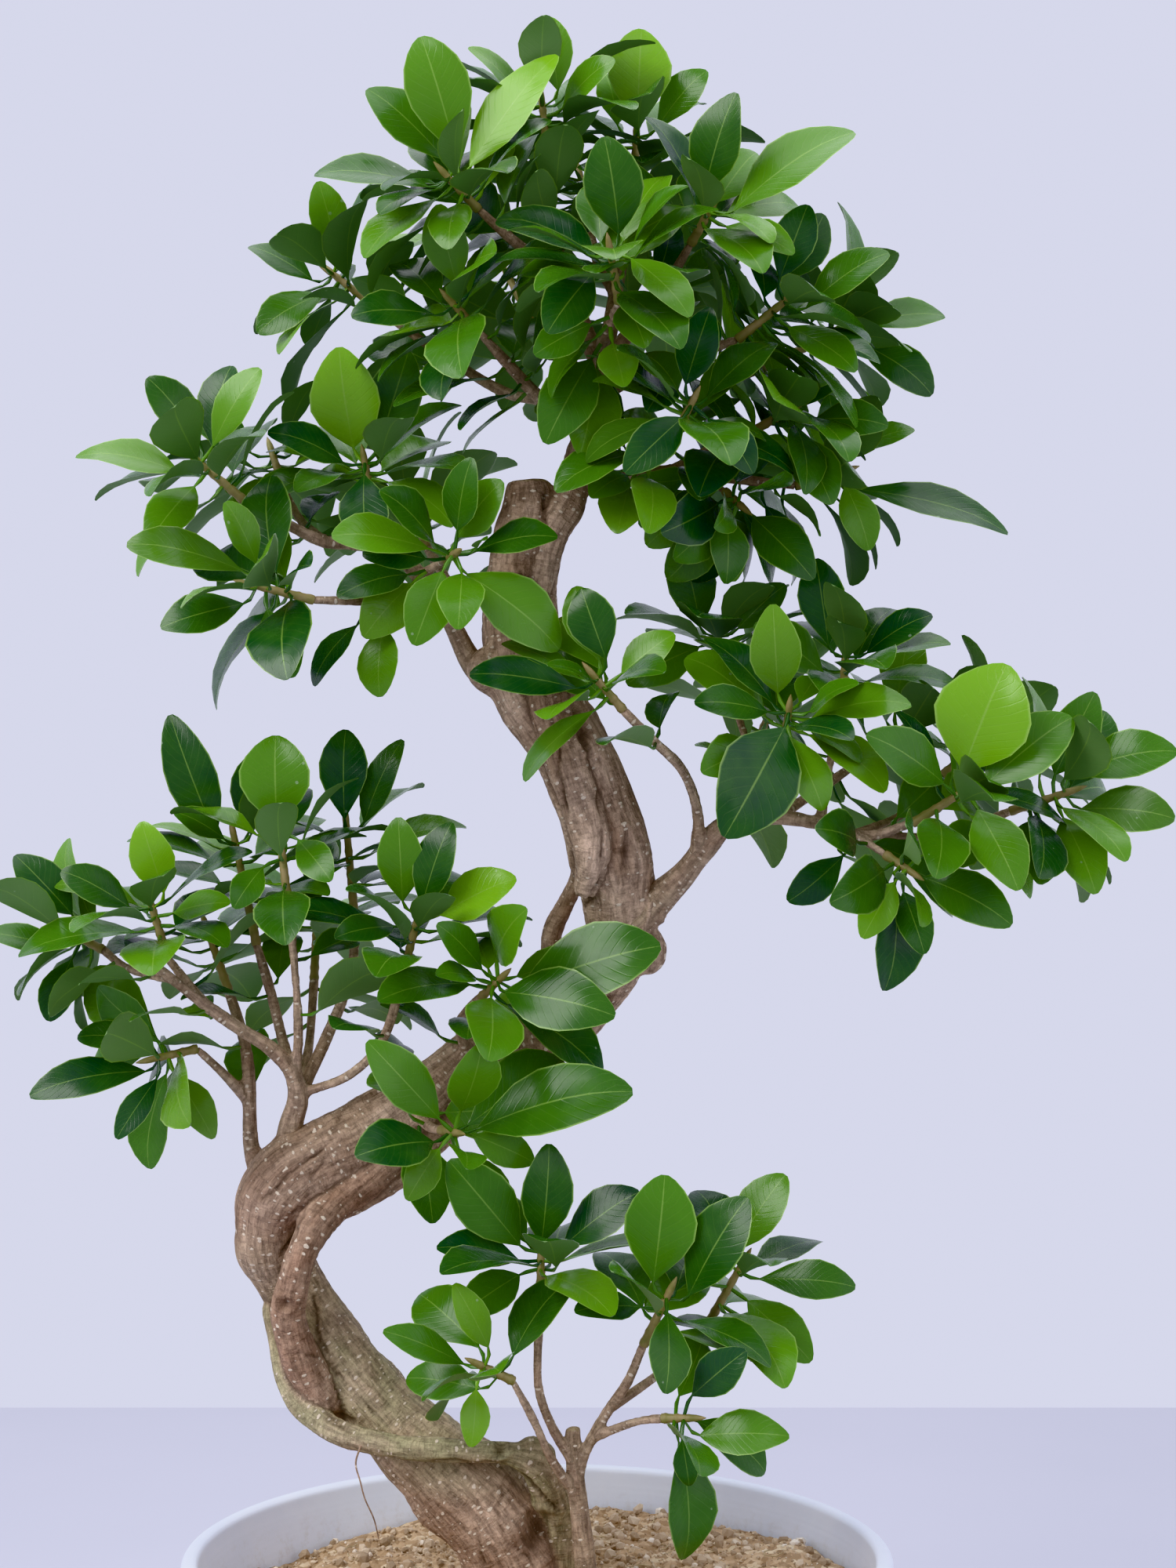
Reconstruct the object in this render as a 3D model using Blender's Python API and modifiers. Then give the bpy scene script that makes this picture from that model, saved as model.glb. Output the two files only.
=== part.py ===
"""Bonsai fig tree in a round plastic nursery pot.

Solids in metres, +Z up. The origin is the centre of the pot's flat underside.
An S-shaped trunk with fused aerial roots stands in soil, carries pruned limbs,
and each limb ends in leafy shoots. A shoot is one grown body: a twig, its bud
and the leaves lofted out of the twig's side faces.
"""
import math

import bpy
import numpy as np
from mathutils import Vector
from mathutils.bvhtree import BVHTree

# ---- driving dimensions, metres ----
RIM_DIAMETER = 0.320
POT_HEIGHT = 0.220
BASE_DIAMETER = 0.235
POT_WALL = 0.0030
POT_FLOOR = 0.0040
LIP_WIDTH = 0.0085
LIP_BAND = 0.028
SOIL_DROP = 0.026
SOIL_MOUND = 0.007
TREE_HEIGHT = 0.713      # above the soil, to the topmost leaf
TRUNK_GIRTH = 1.00       # multiplies every trunk radius
LEAF_LENGTH = 1.00       # multiplies every leaf length
LEAF_WIDTH = 0.54        # blade width over blade length of an ordinary leaf
LEAF_THICK = 0.0009      # at the midrib
PETIOLE = 0.009
GAP = 0.0003             # between neighbouring solids

POT_SIDES = 36
SOIL_SIDES = 30
TRUNK_SIDES = 12
STRAND_SIDES = 7
BRANCH_SIDES = 5
TWIG_SIDES = 5

SOIL_Z = POT_HEIGHT - SOIL_DROP
TREE_SCALE = TREE_HEIGHT / 713.0

# ---- skeleton: (x, y, height above soil, radius), millimetres before TREE_SCALE ----
# The trunk leaves the soil leaning left, bends back to the right and up to a sawn stump.
TRUNK = [
    (5, 4, -46, 20), (5, 4, -14, 26.3), (-4, 2, 10, 23.5), (-16, 0, 33, 24.1),
    (-30, 0, 51, 23.4), (-47, 2, 66, 20.6), (-66, 6, 82, 18.2), (-83, 10, 100, 17.2),
    (-97, 14, 118, 16.5), (-109, 16, 135, 15.5), (-118, 14, 151, 15.4), (-122, 6, 166, 16.4),
    (-121, 0, 181, 16.7), (-112, -2, 195, 17), (-98, 0, 203, 17.4), (-82, 4, 210, 17.1),
    (-65, 8, 221, 15.7), (-48, 12, 233, 14.3), (-29, 16, 248, 13.3), (-10, 20, 256, 13),
    (8, 22, 261, 13.4), (21, 22, 271, 14.1), (31, 20, 286, 15.1), (36, 16, 302, 15.5),
    (36, 12, 319, 16.8), (33, 8, 337, 18.2), (29, 4, 355, 18.2), (23, 2, 372, 17.8),
    (16, 2, 387, 18.1), (6, 4, 401, 18.5), (-4, 6, 418, 18.9), (-8, 6, 436, 17.8),
    (-8, 6, 454, 17.1), (-6, 4, 471, 15.7), (-5, 2, 485, 14.9), (-4, 2, 498, 12.1),
    (-4, 2, 510, 10)]

# Aerial roots and stems grown together with the trunk.
STRANDS = {
    "wrap": [
        (12, -4, -40, 8), (10, -6, 0, 8.5), (9, -7, 28, 8.5), (8, -8, 43, 8.5), (5, -14, 57, 8.8),
        (0, -20, 68, 8), (-10, -24, 74, 6), (-23, -26, 76, 5.2), (-43, -26, 77, 5.2),
        (-63, -22, 78, 5.2), (-82, -18, 81, 5.2), (-96, -12, 86, 5.6), (-107, -8, 94, 5.6),
        (-115, -4, 107, 4.8), (-119, 2, 121, 4.6), (-122, 8, 135, 4.6), (-118, 14, 147, 4.6)],
    "red": [
        (-60, 2, 208, 8), (-79, -4, 193, 9.2), (-89, -8, 185, 8.5), (-98, -14, 176, 7.7),
        (-104, -18, 165, 7.3), (-108, -18, 151, 7.7), (-111, -14, 134, 8.1),
        (-106, -10, 115, 8.4), (-100, -6, 100, 7.8), (-92, 0, 90, 6.4), (-84, 6, 84, 5)],
    "under": [
        (-97, 2, 178, 6), (-80, 2, 186, 7.1), (-66, 4, 195, 7.8), (-52, 6, 208, 7.8),
        (-36, 10, 222, 7.2), (-18, 14, 243, 6.5)],
    "handle": [
        (25, 8, 352, 7), (19, 22, 332, 4.9), (12, 30, 316, 4.6), (6, 32, 300, 4.6),
        (8, 30, 284, 4.8), (16, 24, 268, 5.5)],
    "face": [
        (20, -4, 322, 5), (24, -12, 341, 7.7), (21, -13, 358, 9.1), (15, -12, 376, 9.8),
        (9, -11, 393, 9.8), (4, -9, 411, 9.2), (0, -5, 428, 7.1)],
    "neck": [
        (-1, -2, 462, 9), (5, -4, 483, 8.5), (13, -2, 498, 8.1), (17, 0, 511, 7.8),
        (21, 1, 526, 7.6), (26, 4, 543, 7.1)]}

# Limbs: the first path is the limb, the others are its branches.
LIMBS = {
    "limb_right": [
        [(41, 10, 306, 9.3), (54, 8, 319, 7.9), (65, 4, 330, 6.4), (75, -2, 343, 5.7),
         (85, -8, 354, 4.9), (103, -14, 358, 4.2), (124, -18, 355, 3.1), (145, -22, 349, 2.8),
         (167, -24, 355, 2.3)],
        [(100, -12, 357, 3.2), (105, -20, 376, 2.6), (110, -28, 393, 2.3)],
        [(107, -12, 357, 3.2), (130, 10, 371, 2.7), (150, 30, 384, 2.4)],
        [(71, 2, 335, 3.6), (72, -14, 358, 2.9), (65, -24, 378, 2.5), (52, -31, 391, 2.4),
         (38, -35, 405, 2.2)],
        [(93, -8, 356, 2.8), (96, 10, 385, 2.3), (90, 25, 410, 2.2), (85, 30, 427, 2.2)],
        [(126, -18, 354, 2.8), (133, 0, 386, 2.3), (139, 10, 412, 2.1)],
        [(84, -6, 353, 3.2), (89, 45, 369, 2.8), (102, 85, 387, 2.5)],
        [(140, -21, 351, 2.4), (154, -32, 341, 2.1)],
        [(141, -20, 350, 2.4), (166, 15, 358, 2.3), (182, 40, 372, 2.2)],
        [(152, -22, 350, 2.3), (182, -6, 349, 2.3), (214, 0, 360, 2.1)],
    ],
    "limb_left": [
        [(-13, 4, 413, 7.1), (-28, 2, 425, 5.7), (-37, 0, 441, 4.6), (-44, -4, 454, 4.2),
         (-54, -8, 467, 3.9), (-65, -10, 477, 3.5), (-81, -14, 480, 3.2), (-96, -16, 481, 2.8),
         (-115, -18, 490, 2.6), (-131, -20, 499, 2.3)],
        [(-46, -5, 457, 3.2), (-65, -20, 454, 2.6), (-81, -32, 453, 2.4), (-98, -40, 453, 2.1)],
        [(-66, -10, 477, 3.2), (-72, -4, 491, 2.5), (-76, 0, 505, 2.3)],
        [(-39, 0, 447, 3.2), (-43, 40, 466, 2.7), (-54, 70, 485, 2.4)],
        [(-53, -8, 466, 2.8), (-43, -26, 470, 2.3), (-40, -34, 471, 2.1)],
        [(-95, -16, 481, 2.6), (-108, 12, 492, 2.3), (-117, 26, 506, 2.2)],
    ],
    "limb_crown": [
        [(25, 3, 534, 6.8), (28, 4, 547, 6.1), (28, 4, 561, 4.6), (22, 0, 576, 3.9),
         (14, -6, 598, 3.2), (7, -10, 622, 2.6), (5, -12, 652, 2.1)],
        [(28, 6, 555, 4.3), (32, 10, 576, 3.8), (37, 20, 607, 3.1), (42, 24, 631, 2.5),
         (44, 24, 651, 2.2)],
        [(28, 4, 561, 3.9), (40, -10, 573, 3.3), (56, -25, 591, 2.8), (68, -35, 610, 2.1)],
        [(29, 4, 550, 3.9), (51, -10, 559, 3.2), (68, -20, 563, 2.8), (89, -28, 569, 2.1)],
        [(27, 2, 548, 3.6), (5, -6, 544, 3.0), (-11, -14, 558, 2.6), (-26, -20, 574, 2.1)],
        [(2, -6, 545, 2.8), (-17, 20, 553, 2.7), (-46, 30, 572, 2.5), (-76, 34, 594, 2.2)],
        [(14, -6, 598, 2.8), (-9, -20, 613, 2.4), (-26, -26, 627, 2.1)],
        [(30, 6, 558, 3.6), (37, 50, 579, 3.1), (49, 85, 599, 2.5)],
        [(26, 6, 552, 3.6), (12, 50, 572, 3.1), (-4, 80, 594, 2.5)],
        [(28, 4, 564, 3.2), (30, -35, 569, 2.6), (36, -60, 580, 2.0)],
        [(65, -18, 562, 2.8), (91, 20, 560, 2.5), (118, 40, 573, 2.2)],
        [(35, 16, 597, 2.9), (27, 44, 618, 2.4), (23, 58, 638, 2.2)],
    ],
    "limb_spray": [
        [(14, 0, 506, 4.3), (37, 6, 511, 3.6), (62, 10, 515, 3.0), (91, 14, 512, 2.5),
         (118, 16, 509, 2.2)],
        [(60, 10, 515, 2.9), (79, 0, 524, 2.5), (97, -8, 531, 2.1)],
        [(76, 12, 513, 2.5), (85, 4, 505, 2.1)],
        [(41, 6, 512, 2.9), (50, -26, 516, 2.4), (60, -46, 523, 2.1)],
    ],
    "limb_low": [
        [(-114, 2, 195, 8.5), (-112, 0, 216, 5.7), (-108, -4, 231, 5.0), (-111, -8, 244, 4.2),
         (-120, -12, 254, 3.7), (-133, -16, 263, 3.2), (-148, -20, 274, 2.8),
         (-164, -22, 287, 2.6), (-181, -24, 300, 2.4)],
        [(-110, -6, 239, 3.2), (-116, 6, 255, 2.7), (-122, 12, 276, 2.5), (-129, 14, 299, 2.3)],
        [(-109, -6, 236, 2.8), (-107, -14, 267, 2.3), (-110, -16, 308, 2.1)],
        [(-108, 0, 231, 3.5), (-96, 12, 258, 2.9), (-87, 18, 282, 2.5), (-84, 20, 304, 2.3)],
        [(-106, -4, 233, 2.8), (-84, -12, 242, 2.3), (-69, -14, 258, 2.3), (-61, -16, 283, 2.1)],
        [(-111, 4, 223, 3.2), (-108, 40, 248, 2.7), (-108, 68, 279, 2.2)],
        [(-146, -19, 272, 2.8), (-162, -6, 288, 2.3), (-167, -4, 294, 2.1)],
        [(-161, -22, 285, 2.4), (-185, -2, 289, 2.3), (-198, 6, 297, 2.1)],
    ],
    "limb_outer": [
        [(-124, 8, 189, 6.4), (-131, 10, 207, 3.9), (-132, 12, 233, 3.4), (-135, 18, 254, 2.9),
         (-144, 30, 277, 2.4)],
        [(-132, 12, 227, 2.9), (-143, 8, 240, 2.5), (-155, 4, 252, 2.1)],
    ],
    "spur_bend": [
        [(-31, 8, 247, 3.6), (-35, -6, 263, 2.6), (-31, -12, 271, 2.3), (-25, -14, 277, 2.1)],
    ],
    "spur_loop": [
        [(-56, 4, 223, 3.2), (-48, -22, 220, 2.4), (-42, -34, 220, 2.1)],
    ],
    "side_stem": [
        [(27, -36, -52, 4.1), (25, -36, -14, 5.9), (23, -36, 14, 5.5), (21, -36, 35, 5.0),
         (19, -36, 52, 4.3), (17, -35, 69, 3.8), (16, -34, 89, 3.1)],
        [(18, -35, 67, 2.9), (22, -37, 80, 2.6), (31, -40, 97, 2.4), (40, -43, 111, 2.2),
         (47, -46, 128, 2.1)],
        [(17, -35, 73, 2.6), (7, -38, 90, 2.2), (1, -39, 108, 2.1), (1, -38, 130, 2.1),
         (2, -36, 152, 1.9)],
        [(17, -36, 60, 2.4), (7, -44, 77, 2.1), (-1, -50, 96, 1.9), (-10, -54, 114, 1.9)],
        [(34, -41, 100, 2.4), (58, -22, 113, 2.1), (74, -12, 126, 1.9)],
        [(26, -38, 86, 2.4), (43, -54, 96, 2.0), (55, -60, 99, 1.9)],
    ],
}

# Shoots: name, twig start, twig tip, leaves in the spiral, leaf length,
# then single leaves by their tip (x, y, height, width over length, lean of the face to the front).
SHOOTS = [
    ("crown_01", (5, -12, 652), (2, -14, 678), 9, 45, [
        (5, -20, 714, 0.5, 60), (-29, -30, 698, 0.5, 50), (33, -40, 690, 0.5, 60),
    ]),
    ("crown_02", (44, 24, 651), (45, 22, 673), 9, 45, [
        (47, 8, 716, 0.66, 75), (76, 10, 698, 0.5, 60),
    ]),
    ("crown_03", (68, -35, 610), (77, -42, 625), 8, 45, [
        (86, -55, 671, 0.55, 70), (137, -50, 657, 0.5, 45), (25, -72, 596, 0.5, 60),
        (111, -60, 602, 0.5, 40),
    ]),
    ("crown_04", (-26, -26, 627), (-40, -32, 641), 8, 44, [
        (-50, -42, 699, 0.5, 70), (8, -38, 693, 0.36, 60), (-74, -30, 680, 0.5, 60),
        (-97, -36, 642, 0.5, 40),
    ]),
    ("crown_05", (-26, -20, 574), (-38, -28, 586), 9, 45, [
        (-43, -38, 626, 0.55, 70), (-80, -44, 578, 0.5, 50),
    ]),
    ("crown_06", (-76, 34, 594), (-98, 34, 611), 9, 45, [
        (-134, 30, 622, 0.5, 50), (-101, 20, 649, 0.5, 70), (-129, 20, 581, 0.5, 50),
    ]),
    ("crown_07", (89, -28, 569), (112, -34, 587), 8, 46, [
        (119, -40, 626, 0.5, 60), (153, -44, 605, 0.5, 45), (139, -50, 553, 0.5, 70),
    ]),
    ("crown_08", (118, 16, 509), (140, 18, 516), 6, 44, [
        (171, 10, 535, 0.5, 45), (214, 8, 489, 0.3, 50), (150, 0, 479, 0.5, 75),
        (134, 20, 551, 0.5, 70),
    ]),
    ("crown_09", (97, -8, 531), (118, -12, 543), 8, 45, [
        (155, -26, 532, 0.5, 60), (130, -30, 497, 0.5, 75),
    ]),
    ("crown_10", (118, 40, 573), (146, 46, 589), 9, 45, [
        (189, 40, 592, 0.5, 50), (183, 36, 555, 0.5, 60),
    ]),
    ("crown_11", (49, 85, 599), (62, 98, 624), 10, 45, [
    ]),
    ("crown_12", (-4, 80, 594), (-17, 94, 621), 10, 45, [
    ]),
    ("crown_13", (36, -60, 580), (32, -74, 600), 8, 46, [
        (30, -84, 645, 0.58, 72), (-10, -92, 606, 0.5, 30), (65, -96, 569, 0.5, 60),
        (6, -90, 563, 0.55, 75),
    ]),
    ("crown_14", (85, 4, 505), (92, -2, 498), 5, 42, [
        (88, -8, 464, 0.5, 80), (123, -14, 465, 0.5, 75),
    ]),
    ("crown_15", (60, -46, 523), (68, -56, 538), 7, 45, [
        (39, -70, 506, 0.5, 75), (93, -72, 506, 0.5, 70), (75, -66, 576, 0.5, 70),
    ]),
    ("crown_16", (23, 58, 638), (19, 66, 662), 8, 44, [
    ]),
    ("left_01", (-131, -20, 499), (-151, -26, 516), 8, 45, [
        (-122, -40, 554, 0.45, 65), (-202, -34, 518, 0.5, 40), (-171, -30, 552, 0.5, 60),
        (-168, -50, 478, 0.5, 70),
    ]),
    ("left_02", (-76, 0, 505), (-78, -6, 518), 9, 45, [
        (-88, -24, 565, 0.62, 72), (-58, -10, 566, 0.5, 65), (-118, -26, 529, 0.5, 50),
        (-75, -34, 476, 0.5, 75),
    ]),
    ("left_03", (-98, -40, 453), (-124, -50, 459), 8, 45, [
        (-175, -60, 477, 0.4, 50), (-160, -66, 440, 0.5, 70), (-104, -66, 419, 0.5, 80),
        (-132, -66, 493, 0.5, 60),
    ]),
    ("left_04", (-54, 70, 485), (-64, 84, 509), 10, 45, [
    ]),
    ("left_05", (-40, -34, 471), (-35, -46, 473), 5, 44, [
        (-52, -60, 433, 0.55, 78), (-28, -62, 512, 0.5, 65), (-22, -58, 478, 0.5, 60),
    ]),
    ("left_06", (-117, 26, 506), (-125, 38, 528), 9, 44, [
        (-163, 36, 548, 0.5, 60),
    ]),
    ("right_01", (38, -35, 405), (25, -40, 420), 5, 42, [
        (20, -46, 457, 0.62, 75), (-28, -50, 421, 0.42, 60), (-16, -48, 438, 0.42, 45),
        (60, -44, 438, 0.55, 70), (6, -62, 424, 0.5, 40),
    ]),
    ("right_02", (85, 30, 427), (83, 30, 442), 9, 45, [
        (65, 22, 484, 0.5, 65), (113, 20, 464, 0.5, 60), (41, 14, 419, 0.5, 70),
    ]),
    ("right_03", (139, 10, 412), (140, 8, 432), 9, 45, [
        (126, 0, 474, 0.5, 68), (177, -4, 449, 0.5, 50), (97, -10, 443, 0.5, 60),
    ]),
    ("right_04", (110, -28, 393), (111, -36, 405), 7, 46, [
        (70, -56, 408, 0.5, 60), (82, -66, 351, 0.6, 78), (124, -64, 359, 0.5, 75),
        (138, -60, 416, 0.5, 50), (103, -52, 449, 0.5, 70),
    ]),
    ("right_05", (150, 30, 384), (169, 36, 398), 9, 45, [
        (172, 34, 445, 0.5, 65),
    ]),
    ("right_06", (167, -24, 355), (192, -30, 371), 7, 48, [
        (205, -44, 424, 0.8, 78), (179, -40, 418, 0.3, 10), (145, -54, 394, 0.5, 60),
        (235, -44, 405, 0.5, 55), (208, -60, 328, 0.5, 75),
    ]),
    ("right_07", (154, -32, 341), (164, -38, 334), 6, 44, [
        (207, -46, 312, 0.5, 65), (169, -48, 299, 0.5, 80), (142, -52, 306, 0.5, 80),
    ]),
    ("right_08", (102, 85, 387), (113, 100, 411), 10, 45, [
    ]),
    ("right_09", (182, 40, 372), (211, 56, 393), 10, 45, [
    ]),
    ("right_10", (214, 0, 360), (240, -6, 369), 8, 46, [
        (285, -16, 388, 0.5, 50), (282, -26, 358, 0.5, 60), (248, -30, 324, 0.5, 75),
        (250, -10, 413, 0.5, 65),
    ]),
    ("low_01", (-167, -4, 294), (-174, -8, 319), 9, 45, [
        (-176, -20, 355, 0.55, 70), (-212, -16, 334, 0.5, 50), (-137, -26, 320, 0.5, 60),
    ]),
    ("low_02", (-129, 14, 299), (-140, 18, 349), 9, 45, [
        (-168, 10, 403, 0.36, 65), (-164, 0, 360, 0.5, 55), (-130, 30, 387, 0.5, 60),
    ]),
    ("low_03", (-110, -16, 308), (-115, -22, 355), 7, 44, [
        (-115, -34, 393, 0.75, 75), (-90, -44, 331, 0.5, 65), (-132, -42, 319, 0.5, 70),
    ]),
    ("low_04", (-84, 20, 304), (-89, 24, 356), 9, 44, [
        (-89, 18, 397, 0.5, 70), (-63, 12, 392, 0.36, 65),
    ]),
    ("low_05", (-61, -16, 283), (-52, -20, 317), 8, 45, [
        (-61, -30, 357, 0.5, 70), (-38, -34, 355, 0.5, 65), (-10, -36, 331, 0.58, 60),
        (-87, -44, 306, 0.5, 65),
    ]),
    ("low_06", (-25, -14, 277), (-16, -22, 286), 6, 45, [
        (53, -40, 302, 0.5, 62), (31, -50, 270, 0.5, 65), (-42, -44, 311, 0.45, 60),
        (-12, -36, 328, 0.5, 70),
    ]),
    ("low_07", (-42, -34, 220), (-35, -44, 220), 5, 44, [
        (40, -58, 241, 0.46, 50), (-71, -66, 261, 0.42, 65), (3, -68, 205, 0.5, 65),
        (-55, -62, 194, 0.5, 75),
    ]),
    ("low_08", (-155, 4, 252), (-174, -2, 248), 6, 44, [
        (-227, -12, 234, 0.34, 50), (-207, -6, 259, 0.5, 50), (-187, -20, 215, 0.36, 70),
        (-144, -24, 216, 0.4, 75),
    ]),
    ("low_09", (-144, 30, 277), (-156, 42, 306), 8, 44, [
    ]),
    ("low_10", (-108, 68, 279), (-108, 84, 316), 9, 44, [
    ]),
    ("low_11", (-198, 6, 297), (-213, 10, 304), 7, 44, [
        (-251, 4, 305, 0.5, 50), (-238, 8, 340, 0.5, 60), (-221, -4, 266, 0.5, 70),
    ]),
    ("side_01", (2, -36, 152), (2, -38, 169), 6, 44, [
        (-37, -50, 208, 0.5, 65), (-42, -52, 172, 0.5, 45), (-33, -60, 143, 0.5, 70),
        (44, -48, 195, 0.5, 55), (6, -48, 215, 0.5, 70),
    ]),
    ("side_02", (47, -46, 128), (58, -52, 152), 6, 44, [
        (56, -60, 203, 0.62, 72), (18, -72, 148, 0.5, 55), (56, -84, 116, 0.5, 80),
        (90, -64, 194, 0.5, 60),
    ]),
    ("side_03", (74, -12, 126), (92, -14, 158), 7, 44, [
        (110, -20, 198, 0.5, 65), (141, -24, 150, 0.4, 50), (121, -30, 118, 0.5, 70),
    ]),
    ("side_04", (-10, -54, 114), (-24, -60, 122), 5, 42, [
        (-64, -66, 138, 0.36, 55), (-61, -68, 112, 0.5, 60), (-27, -72, 90, 0.5, 78),
        (-34, -68, 158, 0.4, 70),
    ]),
    ("side_05", (55, -60, 99), (66, -64, 100), 4, 42, [
        (108, -70, 94, 0.5, 60), (89, -76, 131, 0.5, 65), (66, -72, 73, 0.5, 75),
    ]),
]


def new_object(name, verts, faces, collection):
    """Mesh object from vertices and outward faces."""
    mesh = bpy.data.meshes.new(name)
    mesh.from_pydata([tuple(v) for v in verts], [], [tuple(f) for f in faces])
    obj = bpy.data.objects.new(name, mesh)
    collection.objects.link(obj)
    return obj


def material(name, colour, roughness):
    """Principled material for one kind of surface."""
    mat = bpy.data.materials.new(name)
    mat.use_nodes = True
    shader = mat.node_tree.nodes["Principled BSDF"]
    shader.inputs["Base Color"].default_value = (*colour, 1.0)
    shader.inputs["Roughness"].default_value = roughness
    return mat


def unit(v):
    """Vector of length one."""
    return v / np.linalg.norm(v)


def tree_point(p):
    """Skeleton point in metres, in the part's frame."""
    return np.array(p[:3], dtype=float) * TREE_SCALE + np.array([0.0, 0.0, SOIL_Z])


def spline(path, step):
    """Points and radii along a Catmull-Rom curve, about one step apart."""
    ctrl = np.array([[*tree_point(p), p[3] * TREE_SCALE] for p in path])
    ends = np.vstack([2 * ctrl[0] - ctrl[1], ctrl, 2 * ctrl[-1] - ctrl[-2]])
    fine = []
    for i in range(len(ctrl) - 1):
        a, b, c, d = ends[i:i + 4]
        t = np.linspace(0.0, 1.0, 9)[:-1, None]
        fine.append(0.5 * (2 * b + (c - a) * t + (2 * a - 5 * b + 4 * c - d) * t ** 2
                           + (3 * b - a - 3 * c + d) * t ** 3))
    fine = np.vstack(fine + [ctrl[-1:]])
    walk = np.r_[0.0, np.cumsum(np.linalg.norm(np.diff(fine[:, :3], axis=0), axis=1))]
    count = max(2, int(round(walk[-1] / step)))
    at = np.linspace(0.0, walk[-1], count + 1)
    return np.column_stack([np.interp(at, walk, fine[:, k]) for k in range(4)])


def frames(points):
    """Side and up vectors along a path, carried without twist."""
    ahead = np.gradient(points, axis=0)
    ahead /= np.linalg.norm(ahead, axis=1)[:, None]
    side = unit(np.cross(ahead[0], [0.31, 0.90, 0.23]))
    sides = []
    for t in ahead:
        side = unit(side - t * np.dot(side, t))
        sides.append(side)
    sides = np.array(sides)
    return ahead, sides, np.cross(ahead, sides)


def tube(path, sides, step, grow=0.0, girth=1.0, flutes=0.0):
    """Vertices and faces of a closed round stem along a path, with flat ends.

    Where a shoot continues the path, the last end is square to that shoot's twig.
    """
    rings = spline(path, step)
    ahead, side, up = frames(rings[:, :3])
    follower = [shoot for shoot in SHOOTS if shoot[1] == path[-1][:3]]
    if follower:
        ahead[-1] = unit(tree_point(follower[0][2]) - tree_point(follower[0][1]))
        side[-1] = unit(side[-1] - ahead[-1] * np.dot(side[-1], ahead[-1]))
        up[-1] = np.cross(ahead[-1], side[-1])
    if grow:
        rings[0, :3] -= ahead[0] * grow
        rings[-1, :3] += ahead[-1] * grow
    turn = np.linspace(0.0, 2 * math.pi, sides, endpoint=False)
    along = np.arange(len(rings))[:, None]
    wave = 1.0 + flutes * np.cos(3 * turn[None, :] + 0.35 * along)
    radius = rings[:, 3:4] * girth * wave + grow
    verts = (rings[:, None, :3]
             + (radius * np.cos(turn))[:, :, None] * side[:, None, :]
             + (radius * np.sin(turn))[:, :, None] * up[:, None, :])
    faces = []
    for i in range(len(rings) - 1):
        for j in range(sides):
            near, far = i * sides + j, i * sides + (j + 1) % sides
            faces += [(near, far, far + sides), (near, far + sides, near + sides)]
    last = (len(rings) - 1) * sides
    faces.append(tuple(range(sides))[::-1])
    faces.append(tuple(range(last, last + sides)))
    return verts.reshape(-1, 3), faces


def cut(obj, other, operation):
    """Boolean of an object with another one."""
    mod = obj.modifiers.new(f"{operation.lower()} {other.name}", "BOOLEAN")
    mod.operation = operation
    mod.solver = "EXACT"
    mod.object = other


def lathe_pot(collection):
    """Thin-walled pot turned from its section, from the inner floor over the lip."""
    rim = RIM_DIAMETER / 2
    base = BASE_DIAMETER / 2
    under_lip = rim - 0.6 * LIP_WIDTH
    band_in = under_lip - POT_WALL
    base_in = base - POT_WALL
    section = [
        (0.0, POT_FLOOR), (base_in - 0.004, POT_FLOOR), (base_in, POT_FLOOR + 0.004),
        (band_in, POT_HEIGHT - 0.0045), (band_in + 0.0012, POT_HEIGHT - 0.0010),
        (band_in + 0.0036, POT_HEIGHT), (rim - 0.0024, POT_HEIGHT),
        (rim - 0.0006, POT_HEIGHT - 0.0010), (rim, POT_HEIGHT - 0.0032),
        (rim - 0.0004, POT_HEIGHT - LIP_BAND), (rim - 0.0034, POT_HEIGHT - LIP_BAND - 0.0012),
        (rim - 0.0075, POT_HEIGHT - LIP_BAND - 0.0020),
        (base + 0.0008, 0.0060), (base, 0.0012), (base - 0.0012, 0.0), (0.0, 0.0)]
    mesh = bpy.data.meshes.new("pot")
    mesh.from_pydata([(r, 0.0, z) for r, z in section], [],
                     [(i, i + 1) for i in range(len(section) - 1)])
    obj = bpy.data.objects.new("pot", mesh)
    collection.objects.link(obj)
    turned = obj.modifiers.new("turned", "SCREW")
    turned.axis = "Z"
    turned.angle = 2 * math.pi
    turned.steps = POT_SIDES
    turned.render_steps = POT_SIDES
    turned.use_normal_flip = True
    turned.use_merge_vertices = True
    turned.merge_threshold = 0.00002
    return obj


def soil_radius(z):
    """Radius of the soil at a height, just inside the pot's wall."""
    low = BASE_DIAMETER / 2 - POT_WALL
    high = RIM_DIAMETER / 2 - 0.6 * LIP_WIDTH - POT_WALL
    share = (z - POT_FLOOR - 0.004) / (POT_HEIGHT - 0.0045 - POT_FLOOR - 0.004)
    return (low + (high - low) * share) * math.cos(math.pi / POT_SIDES) - 1.5 * GAP


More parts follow.
